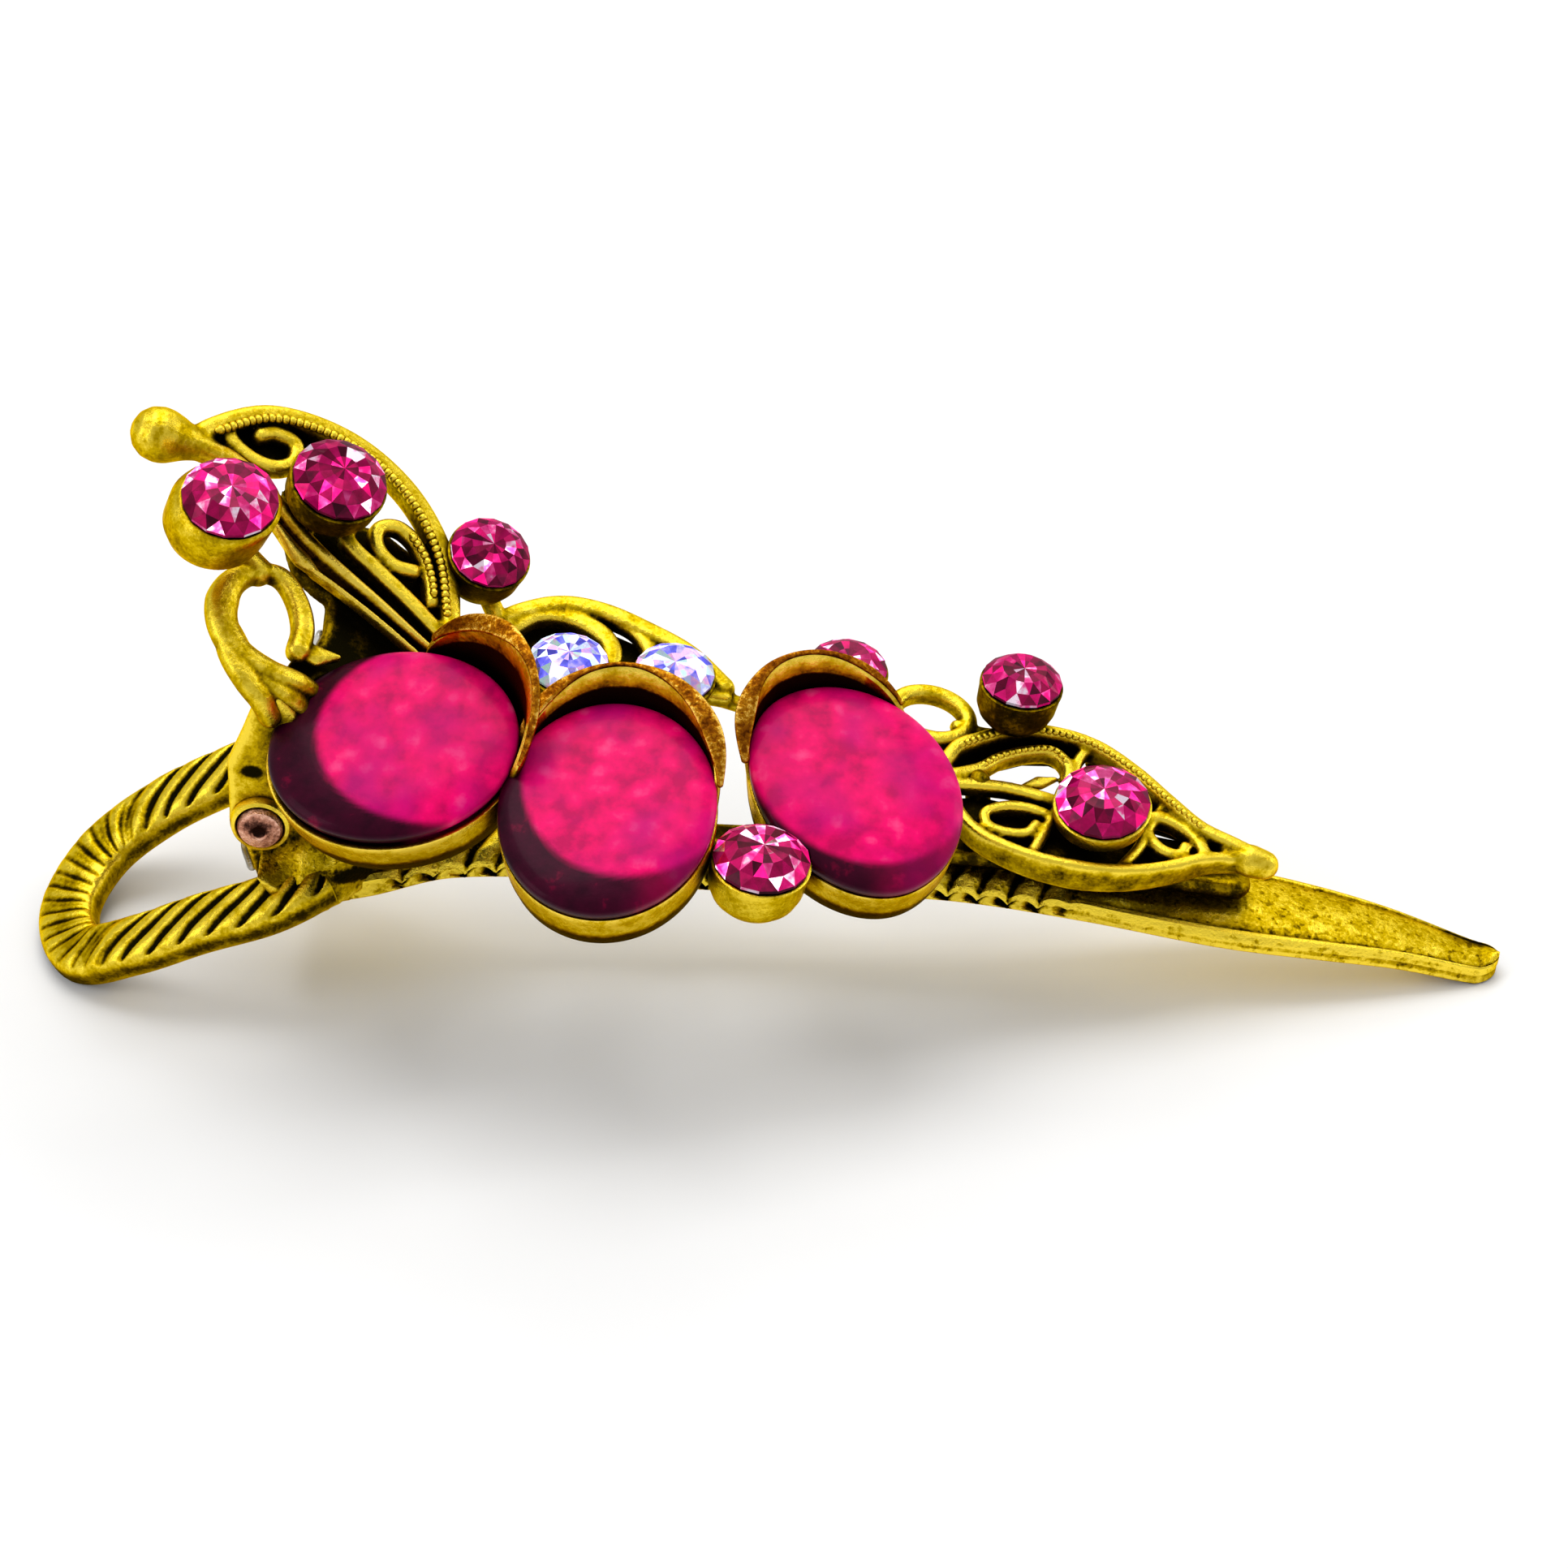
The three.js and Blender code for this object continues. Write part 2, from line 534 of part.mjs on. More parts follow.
// The leaf over the blade: a round far rim, a tall near rim, an arch, two scrolls and two struts.
function frontLeaf() {
  const farRim = [
    [0.0, -0.1], [0.5, 1.0], [1.6, 1.9], [3.1, 2.9], [5.1, 3.4], [7.3, 3.2], [9.5, 2.1], [11.3, 0.8],
    [13.1, -0.4], [14.8, -0.9], [16.1, -1.3],
  ];
  const nearRim = [
    [0.1, -0.2], [0.6, -2.0], [2.0, -3.8], [4.1, -4.6], [6.2, -4.8], [8.2, -4.6], [10.2, -4.0],
    [12.1, -3.0], [13.7, -2.0], [15.8, -1.4],
  ].map(([x, y]) => [x, y, -0.3]);
  const arch = [[0.4, -0.8], [1.8, 0.1], [2.6, 1.0], [3.9, 1.9], [5.2, 2.3], [6.0, 1.7], [6.2, 0.7]];
  const innerWire = [[0.2, -1.4], [2.2, -0.9], [3.6, -0.7], [5.8, -0.8]];
  const rearScroll = [
    [5.4, -1.8], [4.5, -1.7], [3.4, -1.9], [2.4, -2.7], [2.6, -3.4], [3.6, -3.6], [4.6, -3.3],
  ];
  const tipScroll = [[9.8, -1.0], [11.0, -0.2], [12.3, -0.5], [13.2, -1.3], [13.5, -2.0]];
  const strut = [[5.0, -4.5], [5.8, -1.6], [6.4, 1.0], [6.8, 3.1]];
  const tipStrut = [[9.4, -4.1], [10.2, -2.4], [10.6, -0.8], [11.2, 0.8]];
  return leafOf([
    [farRim, RIM_WIRE, 18], [nearRim, 0.4, 18, 0.8], [arch, VEIN_WIRE, 12], [innerWire, VEIN_WIRE, 6],
    [rearScroll, VEIN_WIRE, 12], [tipScroll, VEIN_WIRE, 12],
    [strut, VEIN_WIRE, 8], [tipStrut, VEIN_WIRE, 8],
  ], frontLeafFrame, [knob(0.8, 16.1, -1.3)]);
}

// ---------------------------------------------------------------- assembly
const clip = new THREE.Group();

function addPiece(name, solid, material) {
  const mesh = new THREE.Mesh(geometryOf(solid), material);
  mesh.name = name;
  clip.add(mesh);
}

const petalSpaces = PETALS.map(petalEnvelope);
const chatonSpaces = CHATONS.map(chatonEnvelope);
const spaces = [...petalSpaces, ...chatonSpaces];

addPiece("lower_jaw", lowerJaw(), antiqueGold);
addPiece("finger_loop", fingerLoop(), antiqueGold);
addPiece("hinge_pin", hingePin(), copperRivet);
addPiece("torsion_spring", torsionSpring(), springSteel);
addPiece("upper_jaw_frame", trimmed(upperJawFrame(), spaces), antiqueGold);
addPiece("lever_leaf", trimmed(leverLeaf(), spaces), antiqueGold);
addPiece("lever_side_loop", trimmed(leverSideLoop(), spaces), antiqueGold);
addPiece("middle_wing", trimmed(middleWing(), spaces), antiqueGold);
addPiece("side_ring", trimmed(sideRing(), spaces), antiqueGold);
addPiece("front_leaf", trimmed(frontLeaf(), spaces), antiqueGold);
PETALS.forEach((petal, index) => {
  const frame = petalFrame(petal);
  const inFront = petalSpaces.filter((_, i) => PETALS[i].centre.y < petal.centre.y);
  const cup = place(petalGeometry(petal).translate(0, 0, cupBase), frame);
  const stone = place(cabochonGeometry().translate(0, 0, stoneBase), frame);
  addPiece(`petal_cup_${index + 1}`, trimmed(cup, [...inFront, ...chatonSpaces]), copperGold);
  addPiece(`cabochon_${index + 1}`, trimmed(stone, [...inFront, ...chatonSpaces]), magentaGlass);
});
for (const chaton of CHATONS) {
  const frame = chatonFrame(chaton);
  const glass = chaton.name.startsWith("ab") ? auroraGlass : pinkGlass;
  addPiece(`${chaton.name}_cup`, place(bezelGeometry(chaton), frame), antiqueGold);
  addPiece(chaton.name, place(chatonGeometry(chaton), frame), glass);
}

// The part's origin is on the surface it lies on, under the middle of its box.
const box = new THREE.Box3().setFromObject(clip);
const middle = box.getCenter(new THREE.Vector3());
clip.position.set(-middle.x, -middle.y, -box.min.z);
const part = new THREE.Group();
part.add(clip);

export default part;
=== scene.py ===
"""The looks of the antique-gold beak hair clip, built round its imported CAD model.

Every shape is made in the part's own millimetres, with the hinge pin's centre at PIN, and is then moved
into the row frame. The visible pieces are finer versions of the CAD nodes that they replace.
"""

import json
import math
from collections import namedtuple

import bpy
import numpy as np
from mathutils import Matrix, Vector


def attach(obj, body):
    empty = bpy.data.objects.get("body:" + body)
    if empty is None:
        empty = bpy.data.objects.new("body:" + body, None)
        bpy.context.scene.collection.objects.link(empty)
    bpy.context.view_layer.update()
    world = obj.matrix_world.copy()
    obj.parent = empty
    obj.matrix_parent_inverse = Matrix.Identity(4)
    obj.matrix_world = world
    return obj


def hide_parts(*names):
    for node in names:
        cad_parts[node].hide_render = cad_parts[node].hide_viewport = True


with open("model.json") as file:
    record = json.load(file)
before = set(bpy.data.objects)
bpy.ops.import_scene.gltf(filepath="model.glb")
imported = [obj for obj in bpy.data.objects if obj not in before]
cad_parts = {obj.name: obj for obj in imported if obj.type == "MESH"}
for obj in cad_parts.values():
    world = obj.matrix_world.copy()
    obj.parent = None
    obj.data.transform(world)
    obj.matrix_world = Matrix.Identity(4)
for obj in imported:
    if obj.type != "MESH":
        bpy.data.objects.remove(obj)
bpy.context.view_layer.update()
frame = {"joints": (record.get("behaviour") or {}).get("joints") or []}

MM = 0.001
PER_MM = 1 / MM
PIN = np.array([-25.3, 0.0, 10.9])
ORIGIN = np.array(frame["joints"][0]["pos_m"]) - PIN * MM
SCENE = bpy.context.scene
TAU = 2 * math.pi


# ---- lines and places ----
def unit(vector):
    vector = np.asarray(vector, float)
    return vector / np.linalg.norm(vector)


def smooth_step(low, high, value):
    """Rises smoothly from 0 where value is low to 1 where it is high. high may be the smaller one."""
    share = np.clip((np.asarray(value, float) - low) / (high - low), 0, 1)
    return share * share * (3 - 2 * share)


def resampled(dense, count):
    """count points at even steps along a line of many."""
    along = np.array([0, *np.cumsum(np.linalg.norm(np.diff(dense, axis=0), axis=1))])
    wanted = np.linspace(0, along[-1], count)
    return np.stack([np.interp(wanted, along, dense[:, k]) for k in range(3)], axis=1)


def spline(points, count):
    """Evenly spaced points on a centripetal Catmull-Rom curve. A point is [x, y] or [x, y, z]."""
    given = [np.array([*p, 0.0][:3]) for p in points]
    ends = [2 * given[0] - given[1], *given, 2 * given[-1] - given[-2]]
    u = np.linspace(0, 1, 24, endpoint=False)[:, None]
    dense = []
    for p0, p1, p2, p3 in zip(ends, ends[1:], ends[2:], ends[3:]):
        d0, d1, d2 = (math.sqrt(np.linalg.norm(b - a)) for a, b in ((p0, p1), (p1, p2), (p2, p3)))
        m1 = ((p1 - p0) / d0 - (p2 - p0) / (d0 + d1) + (p2 - p1) / d1) * d1
        m2 = ((p2 - p1) / d1 - (p3 - p1) / (d1 + d2) + (p3 - p2) / d2) * d1
        dense.append(
            (2 * u**3 - 3 * u**2 + 1) * p1 + (u**3 - 2 * u**2 + u) * m1
            + (3 * u**2 - 2 * u**3) * p2 + (u**3 - u**2) * m2
        )
    return resampled(np.vstack([*dense, given[-1]]), count)


def eased(pairs, count):
    """A smooth function through (share, value) pairs, at count even shares."""
    curve = spline(pairs, 400)
    return np.interp(np.linspace(0, 1, count), curve[:, 0], curve[:, 1])


def taper(shares, sizes):
    """A size that changes along a line, given at some shares of the line's length."""
    return lambda share: np.interp(share, shares, sizes)


def length_of(line):
    return np.linalg.norm(np.diff(line, axis=0), axis=1).sum()


def circle(radius, turn, height):
    return np.stack([radius * np.cos(turn), radius * np.sin(turn), np.full(len(turn), height)], axis=1)


class Place:
    """Where a piece's own +X, +Z and origin lie in the part."""

    def __init__(self, origin, along, normal):
        self.origin = np.array(origin, float)
        self.z = unit(normal)
        self.x = unit(np.array(along, float) - self.z * np.dot(along, self.z))
        self.y = np.cross(self.z, self.x)

    def out(self, points):
        points = np.asarray(points, float)
        return self.origin + points[..., :1] * self.x + points[..., 1:2] * self.y + points[..., 2:3] * self.z

    def into(self, points):
        """The x, y and z of the part's points in this place."""
        local = points - self.origin
        return local @ self.x, local @ self.y, local @ self.z


HERE = Place((0, 0, 0), (1, 0, 0), (0, 0, 1))


# ---- surfaces ----
class Shell:
    """Closed surfaces in the part's millimetres, gathered to become one mesh."""

    def __init__(self):
        self.points = np.zeros((0, 3))
        self.faces = []

    def add(self, points, faces):
        start = len(self.points)
        self.points = np.vstack([self.points, points])
        self.faces += [[start + i for i in face] for face in faces]
        return self

    def loft(self, rings, capped=True):
        """Quads between rings of points, and a face over each end."""
        rings = np.asarray(rings, float)
        count, around = rings.shape[:2]
        faces = []
        for i in range(count - 1):
            for j in range(around):
                k = (j + 1) % around
                faces.append([i * around + j, i * around + k, (i + 1) * around + k, (i + 1) * around + j])
        if capped:
            faces.append(list(range(around))[::-1])
            faces.append([(count - 1) * around + j for j in range(around)])
        return self.add(rings.reshape(-1, 3), faces)

    def lathe(self, profile, place, around=64, shape=None):
        """A profile of [radius, height] from axis to axis turned about the place's own z."""
        turn = np.arange(around) / around * TAU
        rings = []
        for radius, height in profile[1:-1]:
            flat = circle(radius, turn, height)
            rings.append(flat if shape is None else shape(flat, turn))
        inner = len(self.points)
        self.loft(place.out(np.array(rings)), capped=False)
        last = len(self.points) - around
        for (_, height), ring, flip in ((profile[0], inner, 1), (profile[-1], last, 0)):
            tip = len(self.points)
            self.points = np.vstack([self.points, place.out([[0, 0, height]])])
            for j in range(around):
                pair = [ring + j, ring + (j + 1) % around]
                self.faces.append([tip, *(pair[::-1] if flip else pair)])
        return self

    def tube(self, line, up, wide, tall=None, sides=16, squareness=2.0):
        """A rounded bar along a line. wide and tall are half sizes, and may change along it.

        squareness 2 is an oval section, and more makes it boxier. The ends are domed.
        """
        line = np.asarray(line, float)
        count = len(line)
        wide = np.broadcast_to(wide, count).astype(float)
        tall = wide if tall is None else np.broadcast_to(tall, count).astype(float)
        along = np.gradient(line, axis=0)
        along /= np.linalg.norm(along, axis=1)[:, None]
        side = np.cross(unit(up), along)
        side /= np.linalg.norm(side, axis=1)[:, None]
        over = np.cross(along, side)
        turn = (np.arange(sides) + 0.5) / sides * TAU
        a = np.sign(np.cos(turn)) * np.abs(np.cos(turn)) ** (2 / squareness)
        b = np.sign(np.sin(turn)) * np.abs(np.sin(turn)) ** (2 / squareness)
        dome = np.linspace(0.15, 1, 4)[:-1] * math.pi / 2

        def domed(end, ahead, swell):
            centre = line[end] + ahead * along[end] * wide[end] * math.cos(swell)
            size = math.sin(swell)
            return centre, side[end] * wide[end] * size, over[end] * tall[end] * size
        rings = [domed(0, -1, swell) for swell in dome]
        rings += zip(line, side * wide[:, None], over * tall[:, None])
        rings += [domed(-1, 1, swell) for swell in dome[::-1]]
        return self.loft([
            centre + a[:, None] * sideways + b[:, None] * upward for centre, sideways, upward in rings
        ])

    def slab(self, outline, low, high, place, edge=0.12):
        """A flat outline of [x, y] pairs given depth from low to high along the place's z, edges rounded."""
        outline = np.asarray(outline, float)
        before = np.roll(outline, 1, axis=0)
        if np.sum(before[:, 0] * outline[:, 1] - outline[:, 0] * before[:, 1]) < 0:
            outline = outline[::-1]
        ahead = np.roll(outline, -1, axis=0) - outline
        ahead /= np.maximum(np.linalg.norm(ahead, axis=1), 1e-9)[:, None]
        tangent = ahead + np.roll(ahead, 1, axis=0)
        tangent /= np.maximum(np.linalg.norm(tangent, axis=1), 1e-9)[:, None]
        inward = np.stack([-tangent[:, 1], tangent[:, 0]], axis=1)
        rings = []
        for share, height in (
            (2.2, low), (1, low), (0.3, low + edge * 0.3), (0, low + edge),
            (0, high - edge), (0.3, high - edge * 0.3), (1, high), (2.2, high),
        ):
            flat = outline + inward * edge * share
            rings.append(place.out(np.column_stack([flat, np.full(len(flat), height)])))
        return self.loft(rings)


def made_mesh(name, points, faces):
    mesh = bpy.data.meshes.new(name)
    mesh.from_pydata(np.asarray(points).tolist(), [], faces)
    mesh.update()
    return mesh


def linked(name, data):
    """A new object in the scene, which holds the data."""
    made = bpy.data.objects.new(name, data)
    SCENE.collection.objects.link(made)
    return made


def evaluated(mesh, modify):
    """A mesh's points and faces once modify has put modifiers on an object that holds it."""
    holder = linked("holder", mesh)
    modify(holder)
    graph = bpy.context.evaluated_depsgraph_get()
    result = bpy.data.meshes.new_from_object(holder.evaluated_get(graph))
    bpy.data.objects.remove(holder)
    points = np.array([v.co for v in result.vertices])
    faces = [list(p.vertices) for p in result.polygons]
    bpy.data.meshes.remove(result)
    return points, faces


def cast(shell, voxel=0.085, softening=4):
    """One skin round all of a shell's surfaces, as if they were cast together."""
    def modify(holder):
        skin = holder.modifiers.new("skin", "REMESH")
        skin.mode = "VOXEL"
        skin.voxel_size = voxel
        soft = holder.modifiers.new("soft", "SMOOTH")
        soft.factor = 0.5
        soft.iterations = softening
    return Shell().add(*evaluated(made_mesh("cast", shell.points, shell.faces), modify))


def carved(shell, *cutters):
    """The shell with the cutters' shells cut out of it."""
    knives = [linked("knife", made_mesh("knife", cutter.points, cutter.faces)) for cutter in cutters]

    def modify(holder):
        for knife in knives:
            cut = holder.modifiers.new("cut", "BOOLEAN")
            cut.operation = "DIFFERENCE"
            cut.solver = "EXACT"
            cut.object = knife
    result = Shell().add(*evaluated(made_mesh("carved", shell.points, shell.faces), modify))
    for knife in knives:
        bpy.data.objects.remove(knife)
    return result


def relief_of(mesh, rounds=10):
    """How far each point stands above its smoothed surroundings, in the mesh's own unit."""
    count = len(mesh.vertices)
    points = np.zeros(count * 3)
    mesh.vertices.foreach_get("co", points)
    points = points.reshape(-1, 3)
    normals = np.zeros(count * 3, np.float32)
    mesh.vertex_normals.foreach_get("vector", normals)
    edges = np.zeros(len(mesh.edges) * 2, int)
    mesh.edges.foreach_get("vertices", edges)
    a, b = edges.reshape(-1, 2).T
    share = np.maximum(np.bincount(a, minlength=count) + np.bincount(b, minlength=count), 1)[:, None]
    smoothed = points.copy()
    for _ in range(rounds):
        total = np.stack([
            np.bincount(a, smoothed[b, k], count) + np.bincount(b, smoothed[a, k], count) for k in range(3)
        ], axis=1)
        smoothed = total / share
    return ((points - smoothed) * normals.reshape(-1, 3)).sum(axis=1)


def store(mesh, name, values):
    layer = mesh.attributes.new(name, "FLOAT", "POINT")
    layer.data.foreach_set("value", np.asarray(values, np.float32))


def evenly(stain_and_shade):
    """A paint for a piece that is as dark all over."""
    return lambda points: np.full(len(points), stain_and_shade)


def piece(name, shell, material, body, slot, nodes=(), crease=40, paint=evenly(0), rounds=10):
    """Makes a visible piece of a shell. paint gives how dark each point is, from its place in mm."""
    mesh = made_mesh(name, shell.points, shell.faces)
    store(mesh, "relief", relief_of(mesh, rounds))
    # This attribute holds each point's darkness: real stains and wear, and painted light and shade.
    store(mesh, "stain_and_shade", paint(shell.points))
    mesh.vertices.foreach_set("co", (ORIGIN + shell.points * MM).ravel())
    mesh.update()
    mesh.shade_smooth()
    mesh.set_sharp_from_angle(angle=math.radians(crease))
    mesh.materials.append(material)
    made = linked(name, mesh)
    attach(made, body)
    if nodes:
        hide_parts(*nodes)
    return made


# ---- material helpers ----
def feed(tree, made, inputs):
    """Gives a node's inputs their values, or links them to other nodes' outputs."""
    for socket, value in inputs.items():
        if isinstance(value, bpy.types.NodeSocket):
            tree.links.new(value, made.inputs[socket])
        else:
            made.inputs[socket].default_value = value


def node(tree, kind, inputs=None, **settings):
    made = tree.nodes.new(kind)
    for name, value in settings.items():
        setattr(made, name, value)
    feed(tree, made, inputs or {})
    return made


def sum_of(tree, a, b, operation="ADD", clamp=False):
    made = node(tree, "ShaderNodeMath", {0: a, 1: b}, operation=operation, use_clamp=clamp)
    return made.outputs[0]


def span(tree, value, low, high, to_low=0.0, to_high=1.0):
    """A value's share of the way from low to high, held within those limits."""
    inputs = {"Value": value, "From Min": low, "From Max": high, "To Min": to_low, "To Max": to_high}
    return node(tree, "ShaderNodeMapRange", inputs).outputs["Result"]


def ramp(tree, factor, stops):
    made = node(tree, "ShaderNodeValToRGB", {"Fac": factor})
    colours = made.color_ramp.elements
    while len(colours) < len(stops):
        colours.new(0.5)
    for element, (position, colour) in zip(colours, stops):
        element.position = position
        element.color = (*colour, 1)
    return made.outputs["Color"]


def noise(tree, place, scale, detail=3.0, roughness=0.55):
    inputs = {"Vector": place, "Scale": scale, "Detail": detail, "Roughness": roughness}
    return node(tree, "ShaderNodeTexNoise", inputs).outputs["Fac"]


def attribute(tree, name, output="Fac"):
    return node(tree, "ShaderNodeAttribute", attribute_name=name).outputs[output]


def bump(tree, height, strength, distance, normal=None):
    inputs = {"Height": height, "Strength": strength, "Distance": distance}
    if normal is not None:
        inputs["Normal"] = normal
    return node(tree, "ShaderNodeBump", inputs).outputs["Normal"]


def new_material(name):
    material = bpy.data.materials.new(name)
    material.use_nodes = True
    tree = material.node_tree
    skin = tree.nodes["Principled BSDF"]
    place = node(tree, "ShaderNodeTexCoord").outputs["Object"]
    return material, tree, skin, place


def antique_metal(name, stops, speckle=0.35, pits=0.0, grain=0.3, depth=0.05, reach=1.0):
    """Worn plating over dark patina, with painted light and shade. The stops run from the darkest recess to
    the brightest edge.

    speckle and pits spot the plating, and grain roughens it. depth is the relief in mm at which an edge is
    worn bright, and reach is how far off in mm a neighbour may be and still darken the metal by ambient
    occlusion, which paints shade between parts and also stands for the patina in hollows. Faces that turn
    down get painted shade, faces that turn up a little painted light, and each piece's own darkness adds to
    it.
    """
    material, tree, skin, place = new_material(name)
    height = span(tree, attribute(tree, "relief"), -depth, depth)
    cloud = span(tree, noise(tree, place, 0.9 * PER_MM), 0.3, 0.7, -0.5, 0.5)
    dust = span(tree, noise(tree, place, 4.5 * PER_MM, 4.0, 0.7), 0.3, 0.7, -0.5, 0.5)
    # Ambient occlusion: painted shade where neighbouring surfaces close in, which also stands for patina in
    # hollows.
    open_air = node(tree, "ShaderNodeAmbientOcclusion", {"Distance": reach * MM}, samples=6).outputs["AO"]
    painted_shade_and_patina = span(tree, open_air, 0.3, 0.9, -0.65, 0.12)
    # Painted shade on faces that turn down, and a little painted light on faces that turn up.
    facing = node(tree, "ShaderNodeSeparateXYZ", {
        "Vector": node(tree, "ShaderNodeTexCoord").outputs["Normal"],
    }).outputs["Z"]
    height = sum_of(tree, height, span(tree, facing, -0.3, 0.75, -0.2, 0.06))
    wear_and_shade = sum_of(tree, height, sum_of(tree, cloud, 0.4, "MULTIPLY"))
    wear_and_shade = sum_of(tree, wear_and_shade, sum_of(tree, dust, speckle, "MULTIPLY"))
    wear_and_shade = sum_of(tree, sum_of(tree, wear_and_shade, painted_shade_and_patina), attribute(tree, "stain_and_shade"), "SUBTRACT")
    spots = span(tree, noise(tree, place, 2.6 * PER_MM, 2.0, 0.5), 0.56, 0.66)
    wear_and_shade = sum_of(tree, wear_and_shade, sum_of(tree, spots, pits, "MULTIPLY"), "SUBTRACT", clamp=True)
    hammered = sum_of(tree, dust, sum_of(tree, cloud, 0.6, "MULTIPLY"))
    pitted = sum_of(tree, hammered, sum_of(tree, spots, 2.5 * pits, "MULTIPLY"), "SUBTRACT")
    feed(tree, skin, {
        "Base Color": ramp(tree, wear_and_shade, stops), "Roughness": span(tree, wear_and_shade, 0.0, 1.0, 0.5, 0.24),
        "Metallic": 1.0, "Specular Tint": (*stops[-1][1], 1), "Normal": bump(tree, pitted, grain, 0.06 * MM),
    })
    return material


GOLD = [
    (0.0, (0.006, 0.005, 0.001)), (0.25, (0.05, 0.03, 0.001)), (0.5, (0.32, 0.2, 0.002)),
    (0.72, (0.58, 0.39, 0.002)), (1.0, (0.95, 0.7, 0.05)),
]
COPPERY = [
    (0.0, (0.006, 0.002, 0.001)), (0.3, (0.07, 0.022, 0.001)), (0.55, (0.36, 0.19, 0.003)),
    (0.78, (0.62, 0.4, 0.005)), (1.0, (0.95, 0.68, 0.08)),
]
LIP = [
    (0.0, (0.008, 0.002, 0.001)), (0.3, (0.07, 0.014, 0.001)), (0.6, (0.25, 0.07, 0.003)),
    (0.82, (0.5, 0.2, 0.006)), (1.0, (0.95, 0.58, 0.1)),
]
RIVET = [
    (0.0, (0.012, 0.005, 0.004)), (0.35, (0.12, 0.045, 0.03)), (0.65, (0.55, 0.24, 0.15)),
    (1.0, (0.95, 0.55, 0.4)),
]
STEEL = [
    (0.0, (0.03, 0.028, 0.025)), (0.5, (0.25, 0.24, 0.22)), (1.0, (0.6, 0.58, 0.54)),
]

gold = antique_metal("antique_gold", GOLD)
blade_gold = antique_metal("stippled_gold", GOLD, speckle=0.45, pits=0.3, grain=0.4, depth=0.06)
cup_gold = antique_metal("coppery_gold", COPPERY, speckle=0.25)
midrib_copper = antique_metal("midrib_copper", COPPERY)
lip_copper = antique_metal("petal_lip_copper", LIP, speckle=0.6, grain=0.4, reach=0.4)
rivet_copper = antique_metal("worn_copper", RIVET, speckle=0.6, grain=0.6)
spring_steel = antique_metal("drawn_steel", STEEL, speckle=0.2, grain=0.15)


def cabochon_glass():
    """Magenta glass over crumpled foil, with painted shade where the side wall is steep."""
    material, tree, skin, place = new_material("magenta_cabochon")
    shade = attribute(tree, "stain_and_shade")
    cells = node(tree, "ShaderNodeTexVoronoi", {
        "Vector": place, "Scale": 0.85 * PER_MM, "Smoothness": 0.6, "Randomness": 1.0,
    }, feature="SMOOTH_F1").outputs["Distance"]
    crumple = noise(tree, place, 0.75 * PER_MM, 5.0, 0.6)
    mottle = sum_of(tree, span(tree, cells, 0.15, 0.6, 0.5, 0.0), span(tree, crumple, 0.35, 0.7, -0.1, 0.6))
    light = ramp(tree, mottle, [
        (0.0, (0.55, 0.0, 0.09)), (0.3, (0.8, 0.0, 0.12)), (0.6, (0.95, 0.0, 0.15)),
        (1.0, (1.0, 0.06, 0.24)),
    ])
    cloud = span(tree, noise(tree, place, 0.28 * PER_MM, 2.0), 0.4, 0.65)
    purple = node(tree, "ShaderNodeMix", {
        "Factor": sum_of(tree, cloud, 0.6, "MULTIPLY"), "A": light, "B": (0.42, 0.0, 0.17, 1),
    }, data_type="RGBA")
    # The colour of the painted shade on a stone's steep side.
    dark = ramp(tree, noise(tree, place, 0.8 * PER_MM, 4.0), [
        (0.3, (0.006, 0.0, 0.003)), (0.6, (0.03, 0.0, 0.008)), (0.8, (0.25, 0.0, 0.03)),
    ])
    colour = node(tree, "ShaderNodeMix", {
        "Factor": shade, "A": purple.outputs["Result"], "B": dark,
    }, data_type="RGBA")
    feed(tree, skin, {
        "Base Color": colour.outputs["Result"], "Roughness": 0.4, "Specular IOR Level": 0.2,
        "Specular Tint": (1.0, 0.15, 0.4, 1), "Coat Weight": 0.06, "Coat Roughness": 0.12,
        "Normal": bump(tree, crumple, 0.25, 0.15 * MM),
    })
    return material


def faceted_glass(name, stops, glow, glint):
    """Foil-backed cut glass. Each face of the mesh carries a foil direction and a tone of its own, which
    stands for the foil's reflections seen through it: painted sparkle, over the aurora stones' own colours.

    glow is how far that tone drifts across a face, and glint is the colour of its edge-on shine.
    """
    material, tree, skin, place = new_material(name)
    facet_tone_and_sparkle = attribute(tree, "facet_tone_and_sparkle")
    smoky = sum_of(tree, facet_tone_and_sparkle, span(tree, noise(tree, place, 1.6 * PER_MM, 2.0), 0.3, 0.7, -glow, glow))
    foil = node(tree, "ShaderNodeVectorTransform", {
        "Vector": attribute(tree, "foil", "Vector"),
    }, vector_type="NORMAL", convert_from="OBJECT", convert_to="WORLD")
    feed(tree, skin, {
        "Base Color": ramp(tree, smoky, stops), "Roughness": span(tree, facet_tone_and_sparkle, 0.0, 1.0, 0.3, 0.12),
        "Metallic": 0.8, "Specular Tint": (*glint, 1), "Coat Weight": 0.15, "Coat Roughness": 0.02,
        "Normal": foil.outputs["Vector"],
    })
    return material


